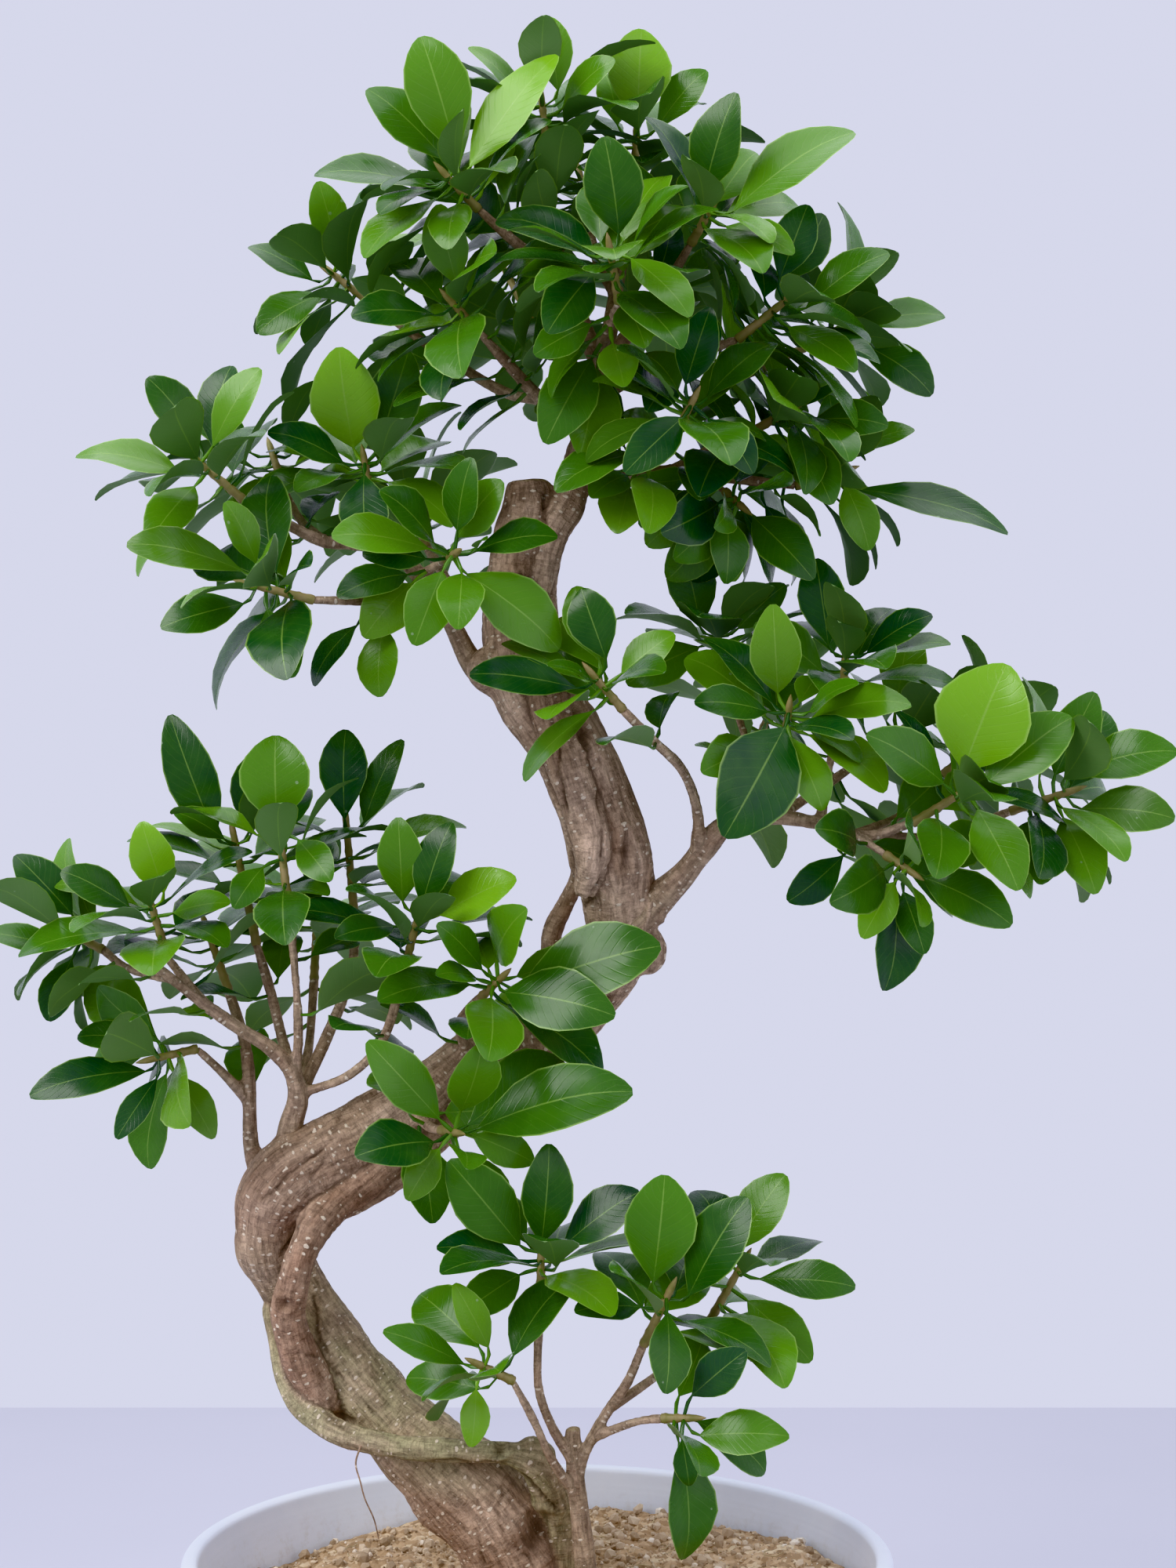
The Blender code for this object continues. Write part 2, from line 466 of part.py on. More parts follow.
def soil_body(collection):
    """Soil filling the pot, mounded to the middle with a crumbly low relief."""
    steps = np.array([0.18, 0.38, 0.58, 0.78, 0.92, 1.0])
    turn = np.linspace(0.0, 2 * math.pi, SOIL_SIDES, endpoint=False)
    edge = soil_radius(SOIL_Z - 0.004)
    radius = steps[:, None] * edge
    x = radius * np.cos(turn)
    y = radius * np.sin(turn)
    crumbs = (0.0013 * np.sin(61 * x + 1.7) * np.cos(83 * y + 0.4)
              + 0.0009 * np.sin(170 * x - 120 * y))
    z = SOIL_Z - 0.004 + SOIL_MOUND * (1 - steps[:, None] ** 2) + crumbs * (steps[:, None] < 0.95)
    top = np.stack([x, y, z], axis=2).reshape(-1, 3)
    walls = []
    for depth, inset in ((0.006 + POT_FLOOR, 0.0), (POT_FLOOR + GAP, 0.005)):
        r = soil_radius(depth) - inset
        walls.append(np.column_stack([r * np.cos(turn), r * np.sin(turn), np.full(len(turn), depth)]))
    verts = np.vstack([[[0.0, 0.0, SOIL_Z - 0.004 + SOIL_MOUND]], top, *walls])
    rings = len(steps) + len(walls)
    faces = [(0, 1 + j, 1 + (j + 1) % SOIL_SIDES) for j in range(SOIL_SIDES)]
    faces += [(1 + i * SOIL_SIDES + j, 1 + (i + 1) * SOIL_SIDES + j,
               1 + (i + 1) * SOIL_SIDES + (j + 1) % SOIL_SIDES,
               1 + i * SOIL_SIDES + (j + 1) % SOIL_SIDES)
              for i in range(rings - 1) for j in range(SOIL_SIDES)]
    last = 1 + (rings - 1) * SOIL_SIDES
    faces.append(tuple(range(last, last + SOIL_SIDES))[::-1])
    return new_object("soil", verts, faces, collection)


def blade(leaf, t, swell=0.0):
    """Rings of four points across a leaf at the stations t: edge, top, edge, underside."""
    bend = leaf["bend"]
    t = np.asarray(t, dtype=float)[:, None]
    ahead = leaf["ahead"] * np.cos(bend * t) - leaf["face"] * np.sin(bend * t)
    face = leaf["face"] * np.cos(bend * t) + leaf["ahead"] * np.sin(bend * t)
    mid = (leaf["start"] + leaf["length"] / bend
           * (leaf["ahead"] * np.sin(bend * t) - leaf["face"] * (1 - np.cos(bend * t))))
    side = np.cross(face, ahead)
    half = 0.5 * leaf["width"] * np.sin(math.pi * np.clip(t, 0, 1) ** 0.88) ** 0.75 + 0.0007 + swell
    thick = 0.5 * LEAF_THICK * (1.25 - 0.6 * t) + swell
    lift = half * math.sin(leaf["fold"])
    reach = half * math.cos(leaf["fold"])
    return np.stack([mid + side * reach + face * lift, mid + face * thick,
                     mid - side * reach + face * lift, mid - face * thick], axis=1)


def test_hull(leaf):
    """Swollen copies of a leaf and its stalk, fine and as lofted, for the clearance test."""
    verts = []
    faces = []
    for stations in ([0.0, 0.16, 0.34, 0.52, 0.70, 0.86, 1.0], [0.0, 0.36, 0.72, 1.0]):
        rings = blade(leaf, stations, 0.0006)
        stalk = rings[0] - 0.65 * (leaf["start"] - leaf["root"])
        rings = np.vstack([stalk[None], rings])
        first = len(verts)
        verts.extend(rings.reshape(-1, 3))
        faces += [(first + i * 4 + j, first + i * 4 + (j + 1) % 4,
                   first + (i + 1) * 4 + (j + 1) % 4, first + (i + 1) * 4 + j)
                  for i in range(len(rings) - 1) for j in range(4)]
    return np.array(verts), faces


class Obstacles:
    """Everything already grown, for asking whether a new leaf has room."""

    def __init__(self):
        self.trees = []
        self.low = np.zeros((0, 3))
        self.high = np.zeros((0, 3))

    def add(self, verts, faces):
        """Remember one closed shape."""
        self.trees.append(BVHTree.FromPolygons([Vector(v) for v in verts], faces))
        self.low = np.vstack([self.low, verts.min(axis=0)])
        self.high = np.vstack([self.high, verts.max(axis=0)])

    def free(self, verts, faces):
        """True where the shape touches nothing remembered."""
        near = np.all((self.low <= verts.max(axis=0)) & (self.high >= verts.min(axis=0)), axis=1)
        if not near.any():
            return True
        shape = BVHTree.FromPolygons([Vector(v) for v in verts], faces)
        return not any(self.trees[i].overlap(shape) for i in np.flatnonzero(near))


def make_leaf(root, out, tip, width, hint, bend, fold, stalk):
    """Leaf from its root on the twig to its tip, bent down along the blade."""
    start = root + stalk * unit(out + unit(tip - root))
    chord = tip - start
    reach = np.linalg.norm(chord)
    along = chord / reach
    face = unit(hint - along * np.dot(hint, along))
    length = reach * (bend / 2) / math.sin(bend / 2)
    return {"root": root, "start": start, "length": length, "width": width * length,
            "ahead": along * math.cos(bend / 2) + face * math.sin(bend / 2),
            "face": face * math.cos(bend / 2) - along * math.sin(bend / 2),
            "bend": bend, "fold": fold}


def tip_leaves(shoot, twig, obstacles, rng):
    """Single leaves placed by their tips, each on the socket that looks its way."""
    sockets = twig["sockets"]
    taken = twig["taken"]
    for x, y, z, width, lean in shoot[5]:
        tip = tree_point((x, y, z))
        order = sorted((i for i in range(len(sockets)) if i not in taken),
                       key=lambda i: -np.dot(sockets[i][1], unit(tip - sockets[i][0]))
                       - 0.4 * sockets[i][2])
        lean = math.radians(lean)
        for trial in range(24):
            root, out, _ = sockets[order[trial % 3]]
            drift = rng.normal(0.0, 0.0008 * trial, 3) * [1.0, 2.5, 1.0]
            aim = root + (tip + drift - root) * LEAF_LENGTH * (1 - 0.010 * trial)
            hint = np.array([0.15 * rng.normal(), -math.sin(lean), math.cos(lean)])
            leaf = make_leaf(root, out, aim, width, hint, 0.35 + 0.25 * rng.random(),
                             0.22, PETIOLE)
            hull = test_hull(leaf)
            if obstacles.free(*hull):
                obstacles.add(*hull)
                twig["leaves"].append((order[trial % 3], leaf))
                taken.add(order[trial % 3])
                break


def spiral_leaves(shoot, twig, obstacles, rng):
    """The remaining leaves, turned by the golden angle up the twig."""
    sockets = twig["sockets"]
    taken = twig["taken"]
    axis = twig["axis"]
    first = rng.random() * 2 * math.pi
    side = unit(np.cross(axis, [0.2, 0.9, 0.35]))
    up = np.cross(axis, side)
    for number in range(shoot[3]):
        rise = number / max(1, shoot[3] - 1)
        for trial in range(26):
            turn = first + 2.39996 * number + rng.normal(0.0, 0.04 * trial)
            spread = math.radians(86 - 34 * rise + rng.normal(0.0, 3.0 + trial))
            around = side * math.cos(turn) + up * math.sin(turn)
            way = unit(axis * math.cos(spread) + around * math.sin(spread)
                       - np.array([0.0, 0.0, 0.16]))
            free_sockets = [i for i in range(len(sockets)) if i not in taken]
            best = max(free_sockets, key=lambda i: np.dot(sockets[i][1], way)
                       - 0.9 * abs(sockets[i][2] - 0.25 - 0.75 * rise))
            root, out, _ = sockets[best]
            size = shoot[4] * (1.12 - 0.22 * rise) * (1 - 0.018 * trial)
            reach = size * TREE_SCALE * LEAF_LENGTH * (0.9 + 0.2 * rng.random()) + PETIOLE
            hint = unit(axis + np.array([0.0, -0.35, 0.75]) + 0.15 * rng.normal(size=3))
            width = LEAF_WIDTH * (0.92 + 0.16 * rng.random())
            leaf = make_leaf(root, out, root + reach * way, width, hint,
                             0.35 + 0.35 * rng.random(), 0.18 + 0.12 * rng.random(), PETIOLE)
            hull = test_hull(leaf)
            if obstacles.free(*hull):
                obstacles.add(*hull)
                twig["leaves"].append((best, leaf))
                taken.add(best)
                break


def grow_twig(shoot):
    """Twig rings, the sockets on its sides where leaves may root, and its bud tip."""
    start = tree_point(shoot[1])
    tip = tree_point(shoot[2])
    axis = unit(tip - start)
    start = start + axis * GAP
    total = shoot[3] + len(shoot[5])
    spans = math.ceil(total / TWIG_SIDES * 1.35) + 1
    at = np.r_[0.0, np.linspace(0.30, 1.0, spans)]
    radius = TREE_SCALE * (2.1 - 0.5 * at)
    side = unit(np.cross(axis, [0.31, 0.90, 0.23]))
    up = np.cross(axis, side)
    turn = np.linspace(0.0, 2 * math.pi, TWIG_SIDES, endpoint=False)
    around = np.cos(turn)[:, None] * side + np.sin(turn)[:, None] * up
    rings = start + at[:, None, None] * (tip - start) + radius[:, None, None] * around[None]
    sockets = []
    for i in range(1, spans):
        for j in range(TWIG_SIDES):
            k = (j + 1) % TWIG_SIDES
            corners = np.array([rings[i, j], rings[i, k], rings[i + 1, k], rings[i + 1, j]])
            sockets.append((corners.mean(axis=0), unit(around[j] + around[k]), at[i]))
    return {"rings": rings, "sockets": sockets, "axis": axis, "bud": tip + axis * 0.007,
            "taken": set(), "leaves": []}


def twig_sides(rings):
    """Side quads of a twig, ring by ring."""
    return [(i * TWIG_SIDES + j, i * TWIG_SIDES + (j + 1) % TWIG_SIDES,
             (i + 1) * TWIG_SIDES + (j + 1) % TWIG_SIDES, (i + 1) * TWIG_SIDES + j)
            for i in range(len(rings) - 1) for j in range(TWIG_SIDES)]


def bud_sides(rings):
    """Faces of the pointed bud on the last ring; its tip is the vertex after the rings."""
    last = (len(rings) - 1) * TWIG_SIDES
    return [(last + j, last + (j + 1) % TWIG_SIDES, last + TWIG_SIDES)
            for j in range(TWIG_SIDES)]


def shoot_body(name, rings, leaves, bud, collection):
    """One closed solid: twig, pointed bud and every leaf lofted from its socket."""
    verts = [v for ring in rings for v in ring]
    quads = twig_sides(rings)
    held = {socket + TWIG_SIDES for socket, _ in leaves}
    faces = [tuple(range(TWIG_SIDES))[::-1]]
    faces += [quad for number, quad in enumerate(quads) if number not in held]
    verts.append(bud)
    faces += bud_sides(rings)
    for socket, leaf in leaves:
        quad = quads[socket + TWIG_SIDES]
        loops = blade(leaf, [0.0, 0.36, 0.72])
        turns = [tuple(quad[(n + s) % 4] for n in range(4)) for s in range(4)]
        low = min(turns, key=lambda q: sum(np.linalg.norm(verts[q[n]] - loops[0, n])
                                           for n in range(4)))
        for ring in loops:
            high = tuple(range(len(verts), len(verts) + 4))
            verts.extend(ring)
            faces += [(low[n], low[(n + 1) % 4], high[(n + 1) % 4], high[n]) for n in range(4)]
            low = high
        verts.append(blade(leaf, [1.0])[0].mean(axis=0))
        faces += [(low[n], low[(n + 1) % 4], len(verts) - 1) for n in range(4)]
    return new_object(name, verts, faces, collection)


for old in list(bpy.data.objects):
    bpy.data.objects.remove(old, do_unlink=True)

bonsai = bpy.data.collections.new("bonsai in pot")
bpy.context.scene.collection.children.link(bonsai)
cutters = bpy.data.collections.new("construction")
bpy.context.scene.collection.children.link(cutters)

BARK = material("fig bark", (0.33, 0.24, 0.18), 0.85)
GREEN_WOOD = material("young fig branch", (0.36, 0.27, 0.19), 0.75)
LEAF = material("leathery fig leaf", (0.045, 0.15, 0.03), 0.35)
PLASTIC = material("pale pot plastic", (0.72, 0.75, 0.84), 0.45)
EARTH = material("crumbly soil", (0.45, 0.36, 0.25), 0.95)

obstacles = Obstacles()

pot = lathe_pot(bonsai)
pot.data.materials.append(PLASTIC)
soil = soil_body(bonsai)
soil.data.materials.append(EARTH)


def construction(name, body):
    """Hidden solid used only to join or cut others."""
    obj = new_object(name, *body, cutters)
    obj.hide_render = True
    obj.display_type = "WIRE"
    return obj


# ---- trunk: the stem joined with its fused roots, and a swollen copy for clearances ----
stem = tube(TRUNK, TRUNK_SIDES, 0.0125, girth=TRUNK_GIRTH, flutes=0.045)
trunk = new_object("trunk", *stem, bonsai)
trunk.data.materials.append(BARK)
obstacles.add(*stem)
room = construction("trunk room", tube(TRUNK, TRUNK_SIDES, 0.0125, GAP, TRUNK_GIRTH, 0.045))
for name, path in STRANDS.items():
    strand = tube(path, STRAND_SIDES, 0.012, girth=TRUNK_GIRTH)
    cut(trunk, construction(name + " strand", strand), "UNION")
    obstacles.add(*strand)
    grown = tube(path, STRAND_SIDES, 0.012, GAP, TRUNK_GIRTH)
    cut(room, construction(name + " room", grown), "UNION")
cut(soil, room, "DIFFERENCE")

# ---- limbs: each one cut back from the trunk by the gap ----
for name, paths in LIMBS.items():
    main = tube(paths[0], STRAND_SIDES, 0.014)
    limb = new_object(name, *main, bonsai)
    limb.data.materials.append(GREEN_WOOD)
    obstacles.add(*main)
    for number, path in enumerate(paths[1:], 1):
        branch = tube(path, BRANCH_SIDES, 0.018)
        cut(limb, construction(f"{name} branch {number}", branch), "UNION")
        obstacles.add(*branch)
    if name == "side_stem":
        hole = construction("side stem room", tube(paths[0], STRAND_SIDES, 0.014, GAP))
        cut(soil, hole, "DIFFERENCE")
    else:
        cut(limb, room, "DIFFERENCE")

# ---- leafy shoots: every twig, then the placed leaves, then the spirals between them ----
chance = np.random.default_rng(11)
twigs = [grow_twig(shoot) for shoot in SHOOTS]
for twig in twigs:
    outline = np.vstack([twig["rings"].reshape(-1, 3), twig["bud"]])
    obstacles.add(outline, twig_sides(twig["rings"]) + bud_sides(twig["rings"]))
for shoot, twig in zip(SHOOTS, twigs):
    tip_leaves(shoot, twig, obstacles, chance)
for shoot, twig in zip(SHOOTS, twigs):
    spiral_leaves(shoot, twig, obstacles, chance)
for shoot, twig in zip(SHOOTS, twigs):
    leafy = shoot_body(shoot[0], twig["rings"], twig["leaves"], twig["bud"], bonsai)
    leafy.data.materials.append(LEAF)
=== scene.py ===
"""Potted bonsai fig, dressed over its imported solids. Metres, +Z up, origin under the pot.

The pot and the soil come first, then the trunk with the roots fused to it, the
limbs, the small side tree, and the leafy shoots that end every branch.
"""
import math

import bpy
import numpy as np
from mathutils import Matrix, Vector
from mathutils.bvhtree import BVHTree
from mathutils.kdtree import KDTree


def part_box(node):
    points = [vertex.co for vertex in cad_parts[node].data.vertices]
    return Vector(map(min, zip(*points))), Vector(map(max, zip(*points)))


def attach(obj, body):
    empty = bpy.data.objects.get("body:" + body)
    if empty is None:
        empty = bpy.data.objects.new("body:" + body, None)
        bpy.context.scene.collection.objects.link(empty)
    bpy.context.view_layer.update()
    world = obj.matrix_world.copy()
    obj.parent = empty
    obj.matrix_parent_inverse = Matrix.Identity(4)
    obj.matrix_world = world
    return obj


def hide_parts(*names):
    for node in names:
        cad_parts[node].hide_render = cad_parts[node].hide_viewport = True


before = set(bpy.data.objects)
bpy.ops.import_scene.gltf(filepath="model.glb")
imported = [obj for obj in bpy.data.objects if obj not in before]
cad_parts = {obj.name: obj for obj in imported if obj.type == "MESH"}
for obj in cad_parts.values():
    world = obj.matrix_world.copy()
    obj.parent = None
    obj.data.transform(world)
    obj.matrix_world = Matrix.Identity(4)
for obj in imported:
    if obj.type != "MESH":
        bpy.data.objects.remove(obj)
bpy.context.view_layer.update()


# ============================== the room ==============================
# A pale matt floor ends against an even lavender glow; broad soft lamps stand
# left, right and above, as in a small product studio.

def linear(colour):
    """Linear RGBA of an sRGB hex colour, by the standard's power curve."""
    parts = [int(colour[i:i + 2], 16) / 255 for i in (1, 3, 5)]
    parts = [p / 12.92 if p <= 0.04045 else ((p + 0.055) / 1.055) ** 2.4 for p in parts]
    return (*parts, 1.0)


def add(mat, kind, links=(), **settings):
    """Adds one node; settings are its properties or its inputs, links feed its inputs.

    A Mix node of colours has its colours at inputs 6 and 7 and its result at output 2."""
    node = mat.node_tree.nodes.new(kind)
    for key, value in settings.items():
        if hasattr(node, key):
            setattr(node, key, value)
        else:
            node.inputs[key.replace("_", " ")].default_value = value
    for target, source in links:
        mat.node_tree.links.new(source, node.inputs[target])
    return node


def new_material(name):
    """Material with an empty Principled shader, returned with the shader."""
    mat = bpy.data.materials.new(name)
    mat.use_nodes = True
    return mat, mat.node_tree.nodes["Principled BSDF"]


def mesh_piece(name, points, faces, smooth=True):
    """Object at the origin from an array of points and a list or array of faces."""
    mesh = bpy.data.meshes.new(name)
    mesh.from_pydata(np.asarray(points).tolist(), [],
                     faces.tolist() if isinstance(faces, np.ndarray) else faces)
    mesh.polygons.foreach_set("use_smooth", np.full(len(mesh.polygons), smooth))
    mesh.update()
    piece = bpy.data.objects.new(name, mesh)
    bpy.context.scene.collection.objects.link(piece)
    return piece


def ring_quads(rows, sides):
    """Faces of a closed strip whose points are rows of rings: point (i, j) is number
    i * sides + j, and face (i, j) joins it to its neighbours on both rings."""
    i, j = np.meshgrid(np.arange(rows - 1), np.arange(sides), indexing="ij")
    k = (j + 1) % sides
    return np.stack([i * sides + j, i * sides + k, (i + 1) * sides + k, (i + 1) * sides + j],
                    axis=2).reshape(-1, 4)


def point_attribute(piece, name, values):
    """Stores one number at every point of a piece, for its material to read."""
    layer = piece.data.attributes.new(name, "FLOAT", "POINT")
    layer.data.foreach_set("value", np.asarray(values, dtype=np.float32).ravel())


FLOOR_BACK = 1.257

floor = mesh_piece("floor", [(-4, -3, 0), (4, -3, 0), (4, FLOOR_BACK, 0), (-4, FLOOR_BACK, 0)],
                   [(0, 1, 2, 3)], smooth=False)
# Matt emulsion paint: an even pale tone with a barely visible roller mottle.
paint, shader = new_material("matt_floor_paint")
place = add(paint, "ShaderNodeTexCoord")
mottle = add(paint, "ShaderNodeTexNoise", [("Vector", place.outputs["Object"])],
             Scale=3.0, Detail=3.0)
mix = add(paint, "ShaderNodeMix", [("Factor", mottle.outputs["Fac"])], data_type="RGBA")
mix.inputs[6].default_value = linear("#c0c0cb")
mix.inputs[7].default_value = linear("#b9bac5")
paint.node_tree.links.new(mix.outputs[2], shader.inputs["Base Color"])
shader.inputs["Roughness"].default_value = 0.9
floor.data.materials.append(paint)

lens = bpy.data.cameras.new("camera")
lens.sensor_width = 36.0
lens.lens = 63.36
camera = bpy.data.objects.new("camera", lens)
camera.location = (0.0227, -1.249, 0.5663)
camera.rotation_euler = (math.pi / 2, 0, 0)
bpy.context.scene.collection.objects.link(camera)
bpy.context.scene.camera = camera

for name, place, aim, size, watts, tint in (
        ("key_lamp", (-1.7, -1.5, 2.3), (0.0, 0.0, 0.55), 2.0, 66, (1.0, 0.99, 0.97)),
        ("fill_lamp", (1.9, -1.2, 1.3), (0.0, 0.0, 0.5), 2.4, 14, (0.96, 0.97, 1.0)),
        ("top_lamp", (0.1, 0.35, 2.7), (0.0, 0.0, 0.6), 2.4, 24, (1.0, 1.0, 1.0))):
    lamp = bpy.data.lights.new(name, "AREA")
    lamp.size = size
    lamp.energy = watts
    lamp.color = tint
    stand = bpy.data.objects.new(name, lamp)
    stand.location = place
    stand.rotation_euler = (Vector(aim) - Vector(place)).to_track_quat("-Z", "Y").to_euler()
    bpy.context.scene.collection.objects.link(stand)
world = bpy.data.worlds.new("room")
world.use_nodes = True
world.node_tree.nodes["Background"].inputs["Color"].default_value = linear("#e7e9fd")
world.node_tree.nodes["Background"].inputs["Strength"].default_value = 0.92
bpy.context.scene.world = world
bpy.context.scene.view_settings.view_transform = "Khronos PBR Neutral"


# ============================== the pot ==============================
# A grower's bowl of pale blue-grey polypropylene, injection moulded in one
# shot: thin tapering wall, a stepped band under the rim and a rolled lip.

POT_HIGH = np.array(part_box("pot")[1])
RIM = POT_HIGH[0]
POT_HEIGHT = POT_HIGH[2]
POT_BASE = 0.1175
POT_WALL = 0.0030
POT_FLOOR = 0.0040
LIP_WIDTH = 0.0085
LIP_BAND = 0.028


OUTWARD = [0, 3, 2, 1]   # order of a quad's corners where the rings run outward or down


def turned(name, section, sides):
    """Closed body of revolution: each (radius, height) of the section is swept round Z.

    Point (i, j) = (r_i cos a_j, r_i sin a_j, z_i); both ends of the section lie on the axis.
    """
    section = np.asarray(section)
    angle = np.linspace(0, 2 * math.pi, sides, endpoint=False)
    ring = section[1:-1]
    grid = np.stack([ring[:, :1] * np.cos(angle), ring[:, :1] * np.sin(angle),
                     np.repeat(ring[:, 1:], sides, axis=1)], axis=2)
    points = np.vstack([grid.reshape(-1, 3), [[0, 0, section[0, 1]], [0, 0, section[-1, 1]]]])
    quads = ring_quads(len(ring), sides)[:, OUTWARD]
    j = np.arange(sides)
    k = (j + 1) % sides
    first = np.stack([np.full(sides, len(points) - 2), j, k], axis=1)
    last = np.stack([(len(ring) - 1) * sides + k, (len(ring) - 1) * sides + j,
                     np.full(sides, len(points) - 1)], axis=1)
    return mesh_piece(name, points, first.tolist() + quads.tolist() + last.tolist())


def arc(centre, radius, start, stop, count):
    """Points of a circular arc in the section plane, angles in degrees."""
    angle = np.radians(np.linspace(start, stop, count))
    return np.stack([centre[0] + radius * np.cos(angle), centre[1] + radius * np.sin(angle)], 1)


under_lip = RIM - 0.6 * LIP_WIDTH
wall_in = under_lip - POT_WALL
base_in = POT_BASE - POT_WALL
# The inner wall keeps faint moulding rings 2.4 mm apart, 0.05 mm deep.
share = np.linspace(0.02, 0.995, 150)
inner = np.stack([base_in + (wall_in - base_in) * share
                  + 0.00006 * np.sin(share * 2 * math.pi * 62) * (share > 0.75),
                  POT_FLOOR + 0.004 + (POT_HEIGHT - 0.0085 - POT_FLOOR) * share], 1)
outer_top = np.array([RIM - 0.0075, POT_HEIGHT - LIP_BAND - 0.0020])
share = np.linspace(0.0, 1.0, 12)[:, None]
outer = outer_top * (1 - share) + np.array([POT_BASE + 0.0008, 0.0060]) * share
section = np.vstack([
    [(0.0, POT_FLOOR)], [(base_in * 0.5, POT_FLOOR)],
    arc((base_in - 0.004, POT_FLOOR + 0.004), 0.004, -90, 0, 6), inner,
    [(wall_in + 0.0002, POT_HEIGHT - 0.0034)],
    arc((wall_in + 0.0034, POT_HEIGHT - 0.0032), 0.0032, 165, 90, 7),
    arc((RIM - 0.0032, POT_HEIGHT - 0.0032), 0.0032, 90, 0, 8),
    [(RIM - 0.0001, POT_HEIGHT - 0.012), (RIM - 0.0003, POT_HEIGHT - 0.020)],
    arc((RIM - 0.0016, POT_HEIGHT - LIP_BAND + 0.0002), 0.0012, 0, -90, 5),
    arc((RIM - 0.0055, POT_HEIGHT - LIP_BAND - 0.0030), 0.0020, 90, 180, 5), outer,
    arc((POT_BASE - 0.0014, 0.0014), 0.0014, 0, -90, 6), [(POT_BASE * 0.6, 0.0)], [(0.0, 0.0)]])
pot = turned("nursery_pot", section, 192)

# Moulded polypropylene: milky, softly glossy, IOR 1.49, with a fine 0.4 mm mould
# texture, faint scuffs and a bloom of dried soil splashed just above the soil line.
plastic, shader = new_material("moulded_polypropylene_pale")
place = add(plastic, "ShaderNodeTexCoord")
cloud = add(plastic, "ShaderNodeTexNoise", [("Vector", place.outputs["Object"])],
            Scale=14.0, Detail=5.0, Roughness=0.6)
body = add(plastic, "ShaderNodeValToRGB", [("Fac", cloud.outputs["Fac"])])
body.color_ramp.elements[0].color = linear("#dfe5f1")
body.color_ramp.elements[0].position = 0.35
body.color_ramp.elements[1].color = linear("#e9edf6")
body.color_ramp.elements[1].position = 0.68
apart = add(plastic, "ShaderNodeSeparateXYZ", [("Vector", place.outputs["Object"])])
splash = add(plastic, "ShaderNodeTexNoise", [("Vector", place.outputs["Object"])],
             Scale=160.0, Detail=6.0, Roughness=0.7)
near_soil = add(plastic, "ShaderNodeMapRange", [("Value", apart.outputs["Z"])],
                From_Min=0.213, From_Max=0.192, To_Min=0.0, To_Max=0.42)
specks = add(plastic, "ShaderNodeMapRange", [("Value", splash.outputs["Fac"])],
             From_Min=0.50, From_Max=0.72, To_Min=0.0, To_Max=1.0)
radius = add(plastic, "ShaderNodeVectorMath", operation="LENGTH")
flat = add(plastic, "ShaderNodeCombineXYZ", [("X", apart.outputs["X"]), ("Y", apart.outputs["Y"])])
plastic.node_tree.links.new(flat.outputs[0], radius.inputs[0])
inside = add(plastic, "ShaderNodeMath", [(0, radius.outputs["Value"])], operation="LESS_THAN")
inside.inputs[1].default_value = 0.1535
above = add(plastic, "ShaderNodeMapRange", [("Value", apart.outputs["Z"])],
            From_Min=0.1905, From_Max=0.1920, To_Min=0.0, To_Max=1.0)
inside = add(plastic, "ShaderNodeMath", [(0, inside.outputs[0]), (1, above.outputs[0])],
             operation="MULTIPLY")
dirt = add(plastic, "ShaderNodeMath", [(0, near_soil.outputs[0]), (1, specks.outputs[0])],
           operation="MULTIPLY", use_clamp=True)
dirt = add(plastic, "ShaderNodeMath", [(0, dirt.outputs[0]), (1, inside.outputs[0])],
           operation="MULTIPLY")
soiled = add(plastic, "ShaderNodeMix", [("Factor", dirt.outputs[0]), (6, body.outputs["Color"])],
             data_type="RGBA")
soiled.inputs[7].default_value = linear("#b7a78f")
plastic.node_tree.links.new(soiled.outputs[2], shader.inputs["Base Color"])
scuff = add(plastic, "ShaderNodeTexNoise", [("Vector", place.outputs["Object"])],
            Scale=45.0, Detail=8.0, Roughness=0.75)
gloss = add(plastic, "ShaderNodeMapRange", [("Value", scuff.outputs["Fac"])],
            From_Min=0.3, From_Max=0.7, To_Min=0.34, To_Max=0.50)
plastic.node_tree.links.new(gloss.outputs[0], shader.inputs["Roughness"])
pimple = add(plastic, "ShaderNodeTexNoise", [("Vector", place.outputs["Object"])],
             Scale=1 / 0.0012, Detail=2.0)
relief = add(plastic, "ShaderNodeBump", [("Height", pimple.outputs["Fac"])],
             Strength=0.12, Distance=0.0002)
plastic.node_tree.links.new(relief.outputs[0], shader.inputs["Normal"])
shader.inputs["IOR"].default_value = 1.49
shader.inputs["Subsurface Weight"].default_value = 0.08
shader.inputs["Subsurface Radius"].default_value = (0.004, 0.004, 0.004)
pot.data.materials.append(plastic)
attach(pot, "root")
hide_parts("pot")


# ============================== the soil ==============================
# A dry, sandy potting loam, tipped in and watered down: crumbs of 1 to 5 mm,
# a few pale grit stones and bits of straw, mounded a little round the trunk.

SOIL_EDGE = 0.194
SOIL_MOUND = 0.007
SOIL_RADIUS = 0.1460
SOIL_SLOPE = 0.03        # rises to the back and to the right
SOIL_SIDES = 440
SOIL_RINGS = 165
CRUMBS = 4200
STRAWS = 60


